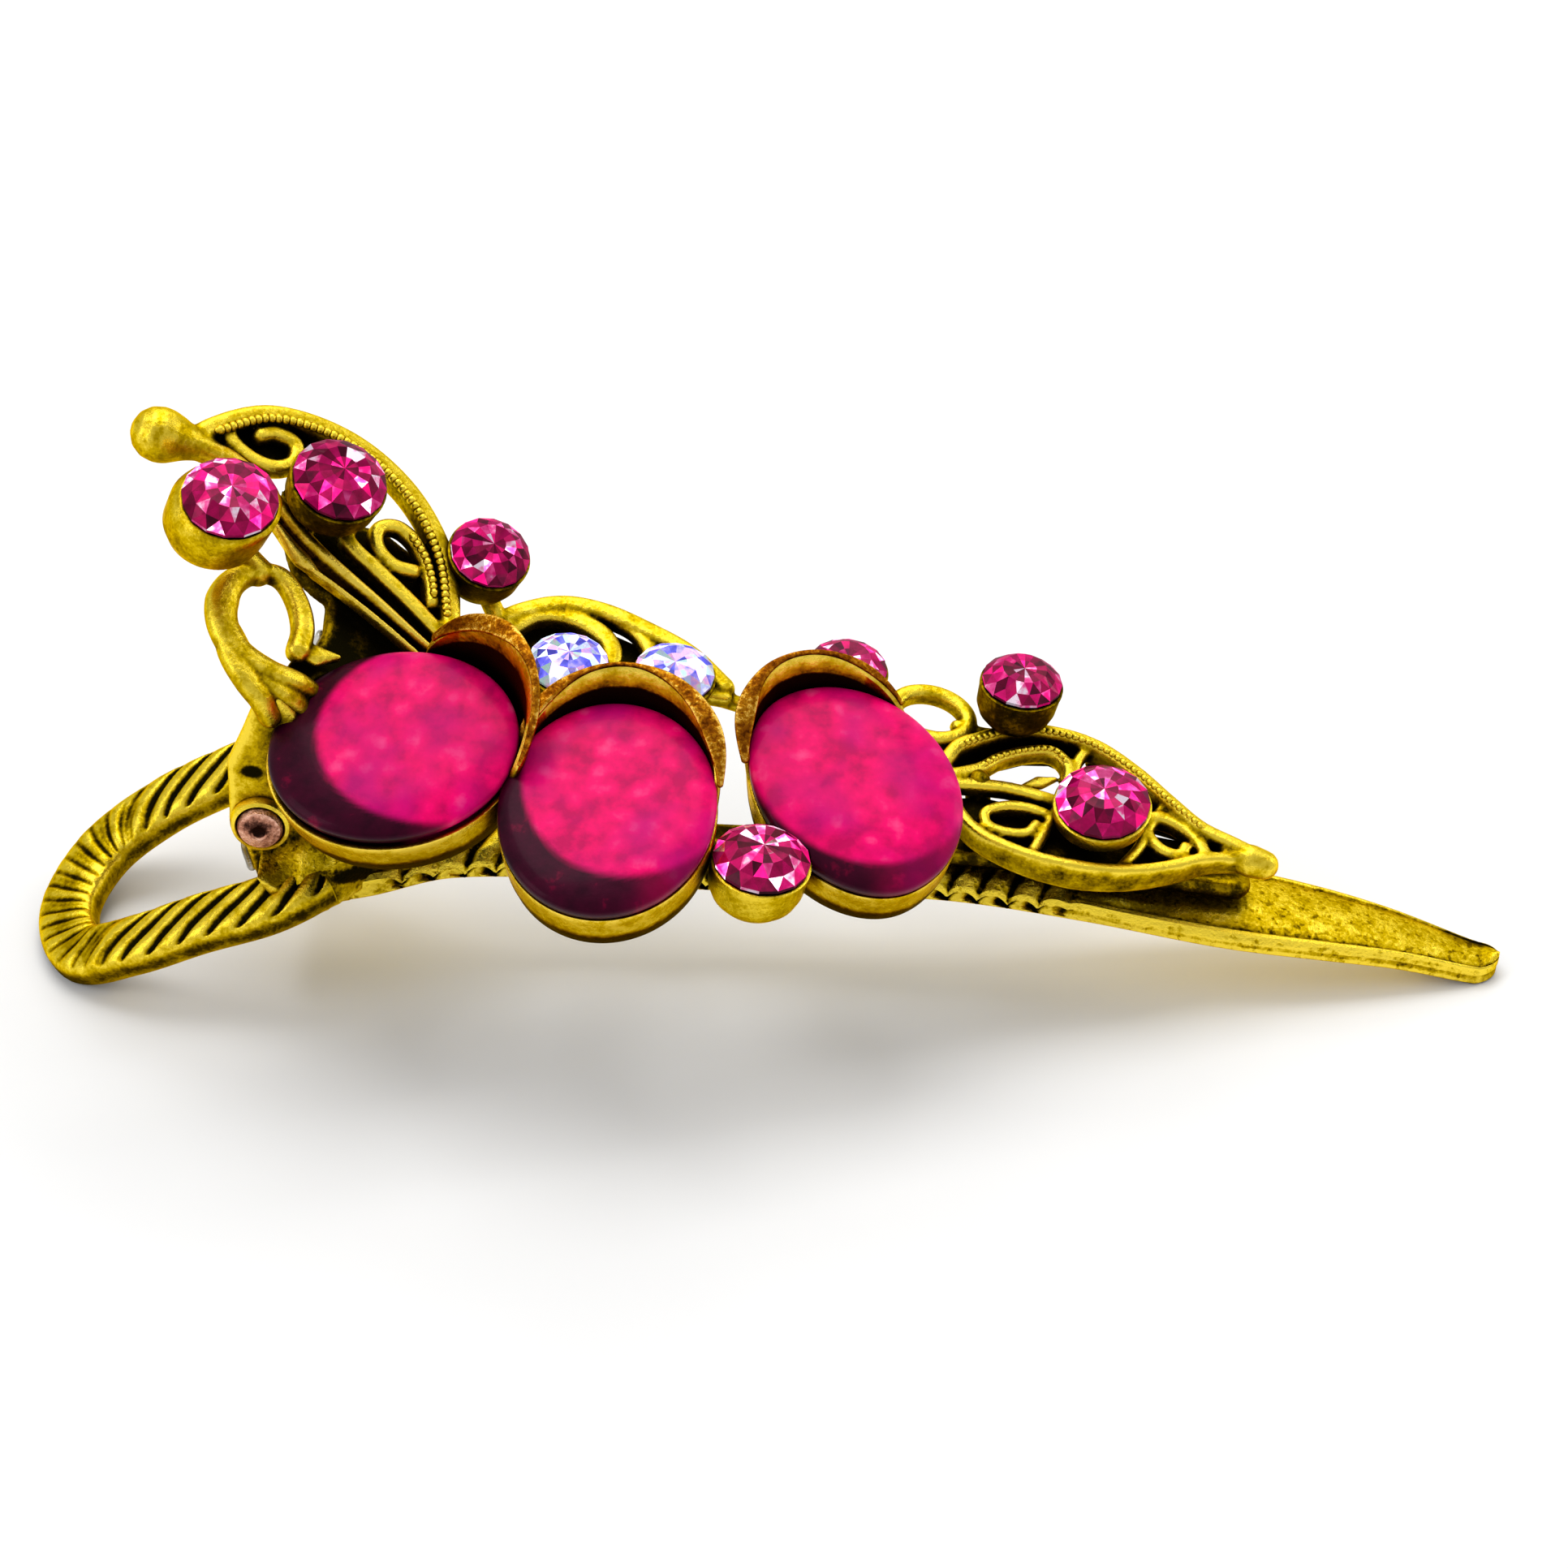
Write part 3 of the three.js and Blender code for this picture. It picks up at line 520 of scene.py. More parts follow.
# PINK and AURORA run from a facet's darkest to its brightest look; their top stops are painted glints.
PINK = [
    (0.0, (0.05, 0.0, 0.01)), (0.3, (0.2, 0.0, 0.035)), (0.55, (0.4, 0.0, 0.08)),
    (0.78, (0.7, 0.005, 0.17)), (0.9, (1.0, 0.1, 0.38)), (1.0, (1.0, 0.8, 0.95)),
]
AURORA = [
    (0.0, (0.04, 0.04, 0.45)), (0.2, (0.12, 0.12, 0.85)), (0.4, (0.45, 0.36, 0.95)),
    (0.55, (0.85, 0.4, 0.75)), (0.7, (0.5, 0.8, 0.7)), (0.87, (0.5, 0.5, 0.95)), (1.0, (1.0, 1.0, 1.0)),
]
magenta_glass = cabochon_glass()
pink_glass = faceted_glass("pink_chaton_glass", PINK, 0.12, (1.0, 0.2, 0.5))
aurora_glass = faceted_glass("aurora_chaton_glass", AURORA, 0.18, (1.0, 1.0, 1.0))


# ---- lower jaw ----
JAW_THICKNESS = 1.25
REAR_X, TIP_X = -25.6, 35.8
UNDERSIDE = [
    (REAR_X, 4.6), (-20, 5.6), (-14.6, 5.3), (-4, 4.7), (9.6, 4.5), (21.7, 3.1), (30, 1.5), (34.8, 0.0),
    (36.8, -0.3),
]
HALF_WIDTHS = [
    (REAR_X, 4.1), (-20.5, 4.2), (-16.5, 2.3), (-13, 1.7), (-4, 1.6), (8, 1.7), (15, 2.3), (22, 2.9),
    (27, 2.5), (32, 1.65), (34.4, 1.25),
]
ROPE_PITCH = 1.5


def rope(phase):
    """The height of twisted strands, from 0 in a groove to 1 on a strand's back."""
    return np.abs(np.sin(phase * math.pi)) ** 0.7


def jaw_twist(x):
    """How much of the bar's rope there is at x, from 0 to 1."""
    return smooth_step(-20.0, -18.5, x) * (1 - smooth_step(12.0, 15.5, x))


def jaw_top(x, q):
    """The jaw's height above its underside, at x and at q of the half width."""
    blade = smooth_step(12, 17, x)
    rim = 0.12 * smooth_step(0.8, 0.88, abs(q)) * smooth_step(1.0, 0.93, abs(q)) * blade
    fall = 0.42 * blade * q * q + 0.22 * smooth_step(0.94, 1.0, abs(q))
    fall += 0.4 * jaw_twist(x) * smooth_step(0.5, 1.0, abs(q)) ** 2
    strands = 0.5 * (rope(x / ROPE_PITCH - 0.55 * q) - 0.75) + 0.12 * (1 - q * q)
    return JAW_THICKNESS + rim - fall + jaw_twist(x) * strands


def jaw_wall(x, w, z, side):
    """Points down a side wall, which the rope's grooves cut as far as a plain strip at the foot."""
    top = float(jaw_top(x, side))
    points = []
    for share in (0.9, 0.75, 0.6, 0.45, 0.33, 0.24):
        q = side * (1.5 - 0.5 * share)
        cut = 0.55 * jaw_twist(x) * (1 - rope(x / ROPE_PITCH - 0.55 * q)) * smooth_step(0.22, 0.34, share)
        points.append((x, side * (w - cut), z + share * top))
    return [*points, (x, side * w, z + 0.12), (x, side * (w - 0.12), z)]


def lower_jaw():
    """The bar and blade: a top that stands square to the curved underside, on upright walls."""
    under = spline(UNDERSIDE, 600).T
    widths = spline(HALF_WIDTHS, 400).T
    q_top = np.concatenate([np.linspace(1, 0.8, 8), np.linspace(0.74, -0.74, 25), np.linspace(-0.8, -1, 8)])
    rings = []
    for x in np.linspace(REAR_X, TIP_X, 560):
        before, z, after = np.interp([x - 0.2, x, x + 0.2], under[0], under[1])
        z = max(z, 0.02)
        slope = (after - before) / 0.4
        tilt = math.hypot(1, slope)
        rounding = max(0.0, 1 - (TIP_X - x) / 1.5)
        w = np.interp(x, widths[0], widths[1]) * math.sqrt(max(0.02, 1 - rounding**2))
        ring = []
        for q in q_top:
            height = float(jaw_top(x, q)) / tilt
            ring.append((x - slope * height, q * w, z + height))
        rings.append([*ring, *jaw_wall(x, w, z, -1), (x, 0, z), *jaw_wall(x, w, z, 1)[::-1]])
    return Shell().loft(rings)


def jaw_half_width(x):
    line = spline(HALF_WIDTHS, 200)
    return np.interp(x, line[:, 0], line[:, 1])


def blade_light_and_shade(points):
    """A painted highlight along the near edge, painted light on the blade's top and painted shade at the far
    tip.
    """
    x, y = points[:, 0], points[:, 1]
    q = np.abs(y) / jaw_half_width(x)
    ridge = np.exp(-((q - 0.9) / 0.05) ** 2)
    tip = smooth_step(32.5, 34.5, x) * smooth_step(0.0, 0.8, y)
    return 0.5 * tip - smooth_step(12, 16, x) * (0.08 + 0.3 * ridge * (y < 0))


def ear_outline(foot, eye_radius, start, stop):
    """An eye round the pin, from turn start to stop, on the foot's points."""
    turns = np.linspace(start, stop, 24) * math.pi
    eye = [(PIN[0] + eye_radius * math.cos(t), PIN[2] + eye_radius * math.sin(t)) for t in turns]
    return [*foot, *eye]


def side_place(y):
    """A place whose x and y are the part's x and z, and whose z runs from y to the far side."""
    made = Place((0, y, 0), (1, 0, 0), (0, 0, 1))
    made.y, made.z = np.array([0, 0, 1.0]), np.array([0, 1.0, 0])
    return made


EAR_Y = 3.6
UPPER_EAR_Y = 4.6
EAR_THICKNESS = 0.7
EYE_RADIUS = 1.6


def cheek(side):
    """Rings of the thick outer half of an ear's foot, which takes the end of the finger loop."""
    rings = []
    for x in np.linspace(REAR_X, -19.2, 48):
        low = np.interp(x, [REAR_X, -24.0, -22.5, -20.8, -19.2], [8.1, 5.5, 5.75, 6.1, 6.4])
        high = np.interp(x, [REAR_X, -24.6, -23.5, -22.0, -20.8, -19.2], [8.4, 8.8, 9.3, 9.7, 8.7, 7.3])
        edge = low + 0.4 * (high - low)
        inner, ridge = side * 3.9, side * 4.2
        out = side * (4.3 + 1.9 * smooth_step(-19.8, -23.6, x))
        ring = [(x, out, low), (x, out, edge), (x, ridge, high), (x, inner, high), (x, inner, low)]
        rings.append(ring[::side])
    return rings


def lower_ears():
    """Plates that rise to the pin and bend in to run along the bar's sides."""
    foot = [
        (-25.4, 5.0), (-24.6, 4.7), (-23.4, 4.85), (-22.2, 5.2), (-20.5, 5.55), (-18.6, 5.6), (-16.5, 5.5),
        (-15.6, 5.6), (-16.2, 6.3), (-18.2, 6.8), (-19.6, 7.4), (-20.6, 8.2), (-22.0, 9.6),
    ]
    outline = ear_outline(foot, EYE_RADIUS, 0.1, 1.05)
    sides = zip(outline, [*outline[1:], outline[0]])
    dense = np.vstack([np.linspace(start, end, 6, endpoint=False) for start, end in sides])
    shell = Shell()
    for low in (EAR_Y, -EAR_Y - EAR_THICKNESS):
        shell.slab(dense, low, low + EAR_THICKNESS, side_place(0), edge=0.1)
    for side in (-1, 1):
        shell.loft(cheek(side))
    bend = np.minimum(0, jaw_half_width(shell.points[:, 0] + 1.2) - 4.15) * 0.98
    shell.points[:, 1] += np.sign(shell.points[:, 1]) * bend
    return shell


def ear_dimple_shade(points):
    """Painted shade of a dark oval dimple on the near ear plate, which the flat plate does not have."""
    x, z = points[:, 0] + 21.1, points[:, 2] - 7.3 + 0.3 * (points[:, 0] + 21.1)
    return 1.1 * np.exp(-(((x / 1.0) ** 2 + (z / 0.36) ** 2) ** 2)) * (points[:, 1] < 0)


# ---- finger loop ----
LOOP_SIDE = [
    (-22.6, 4.7, 7.6), (-23.7, 5.4, 7.3), (-25.2, 5.75, 6.7), (-28.6, 5.5, 5.2), (-32.0, 5.1, 3.4),
    (-35.0, 3.7, 1.55),
]
LOOP_REAR = (-36.25, 0, 0.95)
LOOP_ROLL = 0.1
LOOP_HALF_WIDE, LOOP_HALF_TALL, LOOP_SQUARENESS = 1.5, 1.0, 3.4
STRAND_PITCH = 1.7


def finger_loop():
    """A bar bent to a loop. Slanting grooves cross its top, and its side wall is plain."""
    near = [(x, -y, z - LOOP_ROLL * y) for x, y, z in LOOP_SIDE]
    far = [(x, y, z + LOOP_ROLL * y) for x, y, z in LOOP_SIDE[::-1]]
    count = 480
    line = spline([*near, LOOP_REAR, *far], count)
    along = np.gradient(line, axis=0)
    along /= np.linalg.norm(along, axis=1)[:, None]
    up = unit((-0.3, -0.32, 0.9))
    side = np.cross(up, along)
    side /= np.linalg.norm(side, axis=1)[:, None]
    over = np.cross(along, side)
    travelled = np.linspace(0, length_of(line), count)
    section = (np.arange(64) + 0.5) / 64 * TAU
    oval = np.array([np.cos(section), np.sin(section)])
    a, b = oval / np.sum(np.abs(oval) ** LOOP_SQUARENESS, axis=0) ** (1 / LOOP_SQUARENESS)
    top = smooth_step(0.35, 0.8, b)
    rings = []
    for i in range(count):
        rear = smooth_step(-31.0, -35.0, line[i, 0])
        pitch_share = travelled[i] / STRAND_PITCH - 1.15 * (1 - 0.75 * rear) * a
        groove = np.exp(-((np.mod(pitch_share, 1) - 0.5) / 0.17) ** 2)
        fine = np.exp(-((np.mod(2 * pitch_share, 1) - 0.5) / 0.2) ** 2)
        depth = 0.27 * (1 - 0.7 * rear) * groove + 0.13 * rear * fine
        reach = smooth_step(1.0, 0.72, np.abs(a))
        tall = LOOP_HALF_TALL * b - top * reach * depth
        rings.append(line[i] + side[i] * (LOOP_HALF_WIDE * a)[:, None] + over[i] * tall[:, None])
    shell = Shell().loft(rings)
    shell.points[:, 2] = np.maximum(shell.points[:, 2], 0.0)
    return shell


def loop_stain(points):
    """Worn least where fingers do not reach, beside the ears."""
    return 0.2 + 0.1 * smooth_step(-30.0, -25.0, points[:, 0])


# ---- hinge pin and spring ----
SPRING_RADIUS, SPRING_WIRE, SPRING_TURNS, SPRING_HALF = 1.3, 0.25, 6, 2.4
RIVET_SEAT = UPPER_EAR_Y + EAR_THICKNESS
PIN_RADIUS, RIVET_HEAD = 0.8, 1.0


def along_pin(side):
    """A place at the pin's middle, with its z along the axis to the far side (1) or the near side (-1)."""
    return Place(PIN, (1, 0, 0), (0, side, 0))


def hinge_pin():
    seat, end = RIVET_SEAT, RIVET_SEAT + RIVET_HEAD
    r, reach = PIN_RADIUS, end - 0.3
    shell = Shell().lathe([(0, -reach), (r, -reach), (r, reach), (0, reach)], along_pin(1), 32)
    for side in (-1, 1):
        shell.lathe([
            (0, seat), (1.1, seat + 0.05), (1.15, seat + 0.45), (1.02, seat + 0.75), (0.75, end - 0.12),
            (0.42, end - 0.03), (0.3, end - 0.12), (0, end - 0.14),
        ], along_pin(side), 48)
    return shell


def rivet_dark_patch(points):
    """A darker patch over the middle and upper half of a rivet head."""
    x, z = points[:, 0] - PIN[0] + 0.1, points[:, 2] - PIN[2] - 0.3
    return 0.15 + 0.7 * np.exp(-(((x / 0.8) ** 2 + (z / 0.5) ** 2) ** 2))


def rivet_collars():
    """The raised ring of the upper ears round each end of the pin."""
    seat = RIVET_SEAT
    shell = Shell()
    for side in (-1, 1):
        shell.lathe([
            (0, seat - 0.3), (1.5, seat - 0.3), (1.52, seat + 0.15), (1.42, seat + 0.42), (1.25, seat + 0.5),
            (1.1, seat + 0.38), (1.05, seat + 0.2), (0, seat + 0.15),
        ], along_pin(side), 48)
    return shell


def coil_line(first, last):
    """The spring's coil between two shares of its turns."""
    steps = int(SPRING_TURNS * 24 * (last - first)) + 2
    share = np.linspace(first, last, steps)
    turn = share * (SPRING_TURNS + 0.5) * TAU
    return np.stack([
        PIN[0] + SPRING_RADIUS * np.sin(turn), -SPRING_HALF + share * 2 * SPRING_HALF,
        PIN[2] - SPRING_RADIUS * np.cos(turn),
    ], axis=1)


def spring_parts():
    """The coil with its lower leg, and the upper leg with the last eighth of a turn."""
    up = (0.05, 1, 0.03)
    turns, end = coil_line(0, 1), coil_line(0.98, 1)
    lower_leg = spline([(-26.4, -SPRING_HALF, 6.0), (-26.6, -SPRING_HALF, 7.6), turns[0]], 30)[:-1]
    upper_leg = spline([end[-1], (-24.3, SPRING_HALF, 14.0), (-23.0, SPRING_HALF, 16.8)], 40)[1:]
    coil = Shell().tube(np.vstack([lower_leg, turns]), up, SPRING_WIRE, sides=10)
    return coil, Shell().tube(np.vstack([end, upper_leg]), up, SPRING_WIRE, sides=10)


# ---- leaf places ----
lever_leaf_place = Place((-31.1, 4.5, 26.3), (0.831, -0.231, -0.506), (0.407, -0.368, 0.836))
wing_place = Place((-14.3, 4.0, 15.4), (0.977, -0.088, -0.196), (0.165, -0.278, 0.946))
front_leaf_place = Place((7.9, 1.0, 11.1), (0.974, -0.06, -0.22), (0.203, -0.216, 0.955))


def sunk(place, depth):
    """The same place, further down its own z."""
    return Place(place.origin - depth * place.z, place.x, place.z)


def wires(shell, place, lines):
    """Adds wires given in a place's plane, each as points, half width, half height and squareness."""
    for points, wide, tall, squareness in lines:
        count = max(8, int(length_of(spline(points, 60)) / 0.12))
        line = place.out(spline(points, count))
        wide, tall = (size(np.linspace(0, 1, count)) if callable(size) else size for size in (wide, tall))
        shell.tube(line, place.z, wide, tall, 16, squareness)
    return shell


def beads(shell, place, points, radius, pitch, lift):
    """Adds a wire notched across at an even pitch, as a row of fine beads."""
    rough = spline(points, 60)
    count = int(length_of(rough) / pitch * 6)
    line = place.out(spline(points, count) + [0, 0, lift])
    notch = np.abs(np.sin(np.arange(count) / 6 * math.pi)) ** 0.6
    return shell.tube(line, place.z, radius * (0.62 + 0.38 * notch), None, 10)


# ---- upper jaw frame ----
SPINE = [
    (-17.3, 16.3), (-16.2, 14.6), (-14.6, 11.0), (-12.4, 7.9), (-8, 6.6), (-4, 6.25), (9.6, 6.05),
    (21.7, 4.65), (22.4, 4.55),
]
POSTS = [
    [(-15.0, -0.4, 12.4), (-17.2, -4.6, 14.2)],
    [(-8.0, -0.4, 7.2), (-8.0, -7.6, 12.2)],
    [(3.5, -0.3, 6.8), (3.5, -4.2, 11.2)],
    [(-10.5, 0.3, 7.6), (-10.5, 2.9, 14.6)],
    [(3.0, 0.3, 6.8), (3.0, 4.0, 12.5)],
    [(9.6, 0, 6.6), (9.6, 0.3, 10.6)],
    [(15.6, 0, 6.0), (15.6, -0.9, 9.8)],
]


def upper_jaw_frame():
    """The spine over the lower jaw, the posts, the plate under the lever leaf and the two ears."""
    shell = Shell()
    spine = np.array([(x, 0, z + 0.5) for x, z, _ in spline(SPINE, 200)])
    shell.tube(spine, (0, 0, 1), 0.95, 0.5, squareness=5)
    for ends in POSTS:
        shell.tube(np.linspace(*np.array(ends), 12), (1, 0, 0), 0.65)
    plate = [
        (18.2, 1.6), (16.4, 3.0), (14.0, 4.3), (11.6, 4.5), (10.1, 3.8), (9.3, 2.8), (7.6, 3.2), (6.4, 3.2),
        (7.3, 1.6), (8.2, 0.5), (9.2, -0.5), (10.6, -0.8), (11.4, -0.8), (12.1, -2.4), (12.2, -3.6),
        (11.6, -4.6), (11.6, -8.0), (12.9, -8.0), (13.2, -5.0), (15.0, -3.4), (18.2, -2.4),
    ]
    shell.slab(plate, -1.9, -1.0, lever_leaf_place, edge=0.15)
    crossbar = [(-19.2, 14.6), (-17.2, 14.6), (-17.2, 15.8), (-19.2, 15.8)]
    shell.slab(crossbar, -1.4, 5.0, side_place(0), edge=0.15)
    near_foot = [
        (-23.9, 11.6), (-24.2, 14.8), (-23.2, 17.2), (-24.0, 18.3), (-25.2, 18.2), (-26.0, 16.2),
        (-26.8, 14.4), (-26.85, 12.2),
    ]
    shell.slab(ear_outline(near_foot, EYE_RADIUS, 0.95, 2.05), -RIVET_SEAT, -UPPER_EAR_Y, side_place(0))
    far_foot = [(-19.5, 13.9), (-17.6, 14.4), (-17.6, 15.8), (-19.8, 15.8), (-22.6, 14.1), (-26.3, 12.2)]
    return shell.slab(ear_outline(far_foot, EYE_RADIUS, 0.75, 1.85), UPPER_EAR_Y, RIVET_SEAT, side_place(0))


LEVER_SHADE_SHEET = [
    (1.5, 1.6), (2.3, 3.2), (4.1, 5.3), (6.4, 6.3), (8.4, 6.6), (8.3, 5.4), (6.6, 4.6), (5.6, 3.2),
    (4.2, 2.7), (2.6, 2.2),
]
WING_SHADE_SHEET = [
    (0.4, -0.6), (0.2, 1.0), (1.4, 2.3), (2.8, 3.0), (4.6, 3.1), (6.8, 2.6), (9.0, 1.9), (10.6, 0.6),
    (9.8, -1.0), (5.0, -1.6),
]
FRONT_SHADE_SHEETS = [
    [(0.6, -1.6), (2.2, -1.0), (5.8, -0.9), (9.8, -0.8), (12.3, -0.6), (14.8, -1.2), (12.1, -2.9),
     (10.2, -3.8), (8.2, -4.4), (4.1, -4.4), (2.0, -3.6), (0.8, -2.2)],
    [(0.4, 0.6), (1.6, 1.8), (3.1, 2.8), (5.1, 3.3), (6.7, 3.2), (6.1, 2.1), (5.2, 2.3), (3.9, 1.9),
     (2.6, 1.0), (1.8, 0.1), (0.4, -0.4)],
    [(7.0, 3.1), (9.5, 2.0), (11.3, 0.7), (13.1, -0.5), (11.0, -0.4), (9.6, 0.6), (7.6, 1.6)],
]


def shade_sheets():
    """Thin sheets between the wires of the castings, painted dark for the shade seen through the openwork."""
    shell = Shell().slab(LEVER_SHADE_SHEET, -0.75, -0.5, lever_leaf_place, edge=0.05)
    shell.slab(WING_SHADE_SHEET, -1.0, -0.75, wing_place, edge=0.05)
    for outline in FRONT_SHADE_SHEETS:
        shell.slab(outline, -0.85, -0.6, front_leaf_place, edge=0.05)
    return shell


def frame_light_and_shade(points):
    """Painted shade and patina under the flower, painted light on the near ear, painted shade for its slot.
    """
    near_ear = smooth_step(-4.2, -4.5, points[:, 1])
    x, z = points[:, 0] + 25.6, points[:, 2] - 13.9
    slot = np.exp(-(((x / 0.5) ** 2 + (z / 0.34) ** 2) ** 2))
    return np.where(near_ear > 0.5, slot - 0.12, 0.75)


# ---- filigree ----
RIM, VEIN = 0.55, 0.42


def lever_leaf():
    """The leaf's rim with a scroll at each end, two veins and the knob."""
    rim = [(1.4, 1.1), (1.9, 2.7), (3.9, 5.4), (7.7, 6.8), (11.6, 6.3), (14.9, 4.2), (16.8, 1.4), (17.3, 0.2)]
    knob_scroll = [
        (2.3, 3.6), (2.9, 2.9), (4.1, 2.6), (5.4, 2.9), (6.1, 3.8), (5.7, 4.8), (4.6, 4.7), (4.0, 4.1),
    ]
    flower_scroll = [
        (15.6, 1.7), (14.9, 2.7), (14.0, 3.6), (13.0, 4.2), (12.0, 4.2), (11.4, 3.5), (11.8, 2.6),
        (13.0, 2.2), (14.0, 2.6),
    ]
    shell = wires(Shell(), lever_leaf_place, [
        (rim, RIM, 0.7, 3),
        (knob_scroll, 0.42, 0.5, 3),
        (flower_scroll, 0.4, 0.5, 3),
        ([(10.2, 2.6), (10.4, 1.9), (12.4, 1.4), (14.5, 1.0), (16.8, 0.4)], VEIN, 0.5, 4),
        ([(8.6, 0.6), (8.5, 3.2), (8.4, 6.6)], VEIN, 0.42, 3),
    ])
    knob = lever_leaf_place.out(spline([(0.0, 0.75), (1.0, 1.2), (2.0, 1.55), (3.6, 1.85)], 60))
    swell = eased([(0, 1.42), (0.12, 1.37), (0.25, 1.2), (0.42, 0.92), (0.65, 0.68), (1, 0.5)], 60)
    return shell.tube(knob, lever_leaf_place.z, swell, 0.95 * swell, 40)


def lever_midrib():
    """The leaf's middle vein with a fine vein and a knot beside it."""
    vein = [(1.6, 1.3), (3.7, 1.8), (6.7, 1.2), (9.1, 0.4), (13.9, -0.3), (17.6, -0.9)]
    fine_vein = [(10.0, -0.8), (11.6, -0.85), (14.2, -1.05), (17.4, -1.5)]
    knot = [(5.8, 0.6), (7.2, 0.2), (8.8, -0.4), (10.4, -0.8)]
    return wires(Shell(), lever_leaf_place, [
        (vein, taper([0, 0.3, 0.6, 1], [0.6, 0.48, 0.36, 0.2]), 0.62, 2.4),
        (fine_vein, 0.17, 0.4, 2.4),
        (knot, taper([0, 0.4, 0.75, 1], [0.15, 0.3, 0.5, 0.12]), 0.35, 2),
    ])


def lever_milgrain():
    outer = [(2.2, 2.5), (4.1, 5.1), (7.7, 6.45), (11.5, 5.95), (14.6, 3.9), (16.5, 1.4)]
    inner = [(15.5, 1.9), (14.9, 2.7), (14.0, 3.55), (12.9, 4.1)]
    shell = beads(Shell(), lever_leaf_place, outer, 0.25, 0.36, 0.62)
    return beads(shell, lever_leaf_place, inner, 0.22, 0.34, 0.5)


def lever_side_loop():
    """The teardrop scroll over the near ear, whose outer limb runs down to the ear."""
    loop = [
        (11.6, -4.9), (11.2, -3.7), (10.1, -2.5), (8.8, -1.95), (7.7, -2.6), (7.15, -3.7), (7.2, -4.9),
        (7.9, -6.1), (9.2, -6.9), (11.0, -6.9), (12.5, -6.3, -0.3), (13.9, -5.7, -1.3),
    ]
    outer = [(7.9, -5.9), (9.0, -7.2), (10.4, -8.0), (11.5, -8.2, -0.3), (12.3, -8.2, -1.0)]
    ridge = [(8.4, -6.2), (10.0, -7.1), (11.5, -7.3), (12.8, -7.0, -0.4), (14.0, -6.6, -1.3)]
    pointed_leaf = [(11.5, -5.1), (12.3, -4.6), (13.4, -3.9)]
    link = [(6.4, -2.0), (7.0, -2.2), (7.8, -2.4)]
    shell = wires(Shell(), sunk(lever_leaf_place, 0.3), [
        (loop, taper([0, 0.12, 0.3, 0.5, 0.7, 1], [0.6, 0.58, 0.45, 0.85, 0.7, 0.5]), 0.6, 2.6),
        (outer, 0.62, 0.55, 2.4),
        (ridge, 0.62, 0.4, 2.4),
        (link, 0.75, None, 2),
        (pointed_leaf, taper([0, 0.5, 1], [0.15, 0.6, 0.15]), 0.3, 2.4),
    ])
    sheet = [
        (8.4, -5.9), (9.8, -6.6), (11.3, -6.5), (12.3, -6.3), (12.3, -7.4), (11.5, -8.0), (10.4, -8.3),
        (8.9, -7.3),
    ]
    return shell.slab(sheet, -0.9, -0.2, lever_leaf_place, edge=0.1)


def middle_wing():
    """The small leaf behind the flower, with a vine to the ring and a stalk to the third round stone."""
    rim = [(0.2, -0.6), (-0.2, 1.2), (1.2, 2.6), (2.7, 3.3), (4.6, 3.4), (6.9, 2.9), (9.2, 2.1), (11.3, 0.6)]
    arch = [(0.3, 1.1), (1.3, 2.2), (2.7, 2.6), (4.2, 2.3), (5.1, 1.7), (5.5, 0.8), (5.4, -0.6)]
    shell = wires(Shell(), wing_place, [
        (rim, RIM, 0.6, 3),
        (arch, 0.55, 0.5, 3),
        ([(5.2, 3.2), (6.4, 2.7), (7.2, 1.8), (7.5, 0.7)], VEIN, 0.45, 3),
        ([(0.1, -0.5), (3.6, -0.5), (7.5, -0.3), (11.4, 0.1)], VEIN, 0.45, 3),
    ])
    return wires(shell, HERE, [
        ([(-3.4, 3.2, 13.1), (-0.5, 3.6, 11.9), (3.0, 3.6, 11.4), (5.2, 4.0, 11.6)], VEIN, None, 2),
        ([(-14.2, 5.0, 15.4), (-14.9, 5.6, 16.8), (-15.5, 5.8, 18.4)], 0.5, None, 2),
    ])


def side_ring():
    turn = np.linspace(0, TAU, 97)
    ring = np.stack([-1.1 + 1.9 * np.cos(turn), 2.8 + 1.5 * np.sin(turn), 0 * turn], axis=1)
    shell = Shell().tube(front_leaf_place.out(ring), front_leaf_place.z, 0.46, 0.5, 14, 2.6)
    return wires(shell, front_leaf_place, [([(0.3, 2.6), (1.4, 2.5), (2.6, 2.7)], 0.4, None, 2)])


FRONT_RIM = [
    (0.0, -0.1), (0.5, 1.0), (1.6, 1.9), (3.1, 2.9), (5.1, 3.4), (7.3, 3.2), (9.5, 2.1), (11.3, 0.8),
    (13.1, -0.4), (14.8, -0.9), (16.1, -1.3),
]
FRONT_ARCH = [(0.4, -0.8), (1.8, 0.1), (2.6, 1.0), (3.9, 1.9), (5.2, 2.3), (6.0, 1.7), (6.2, 0.7)]


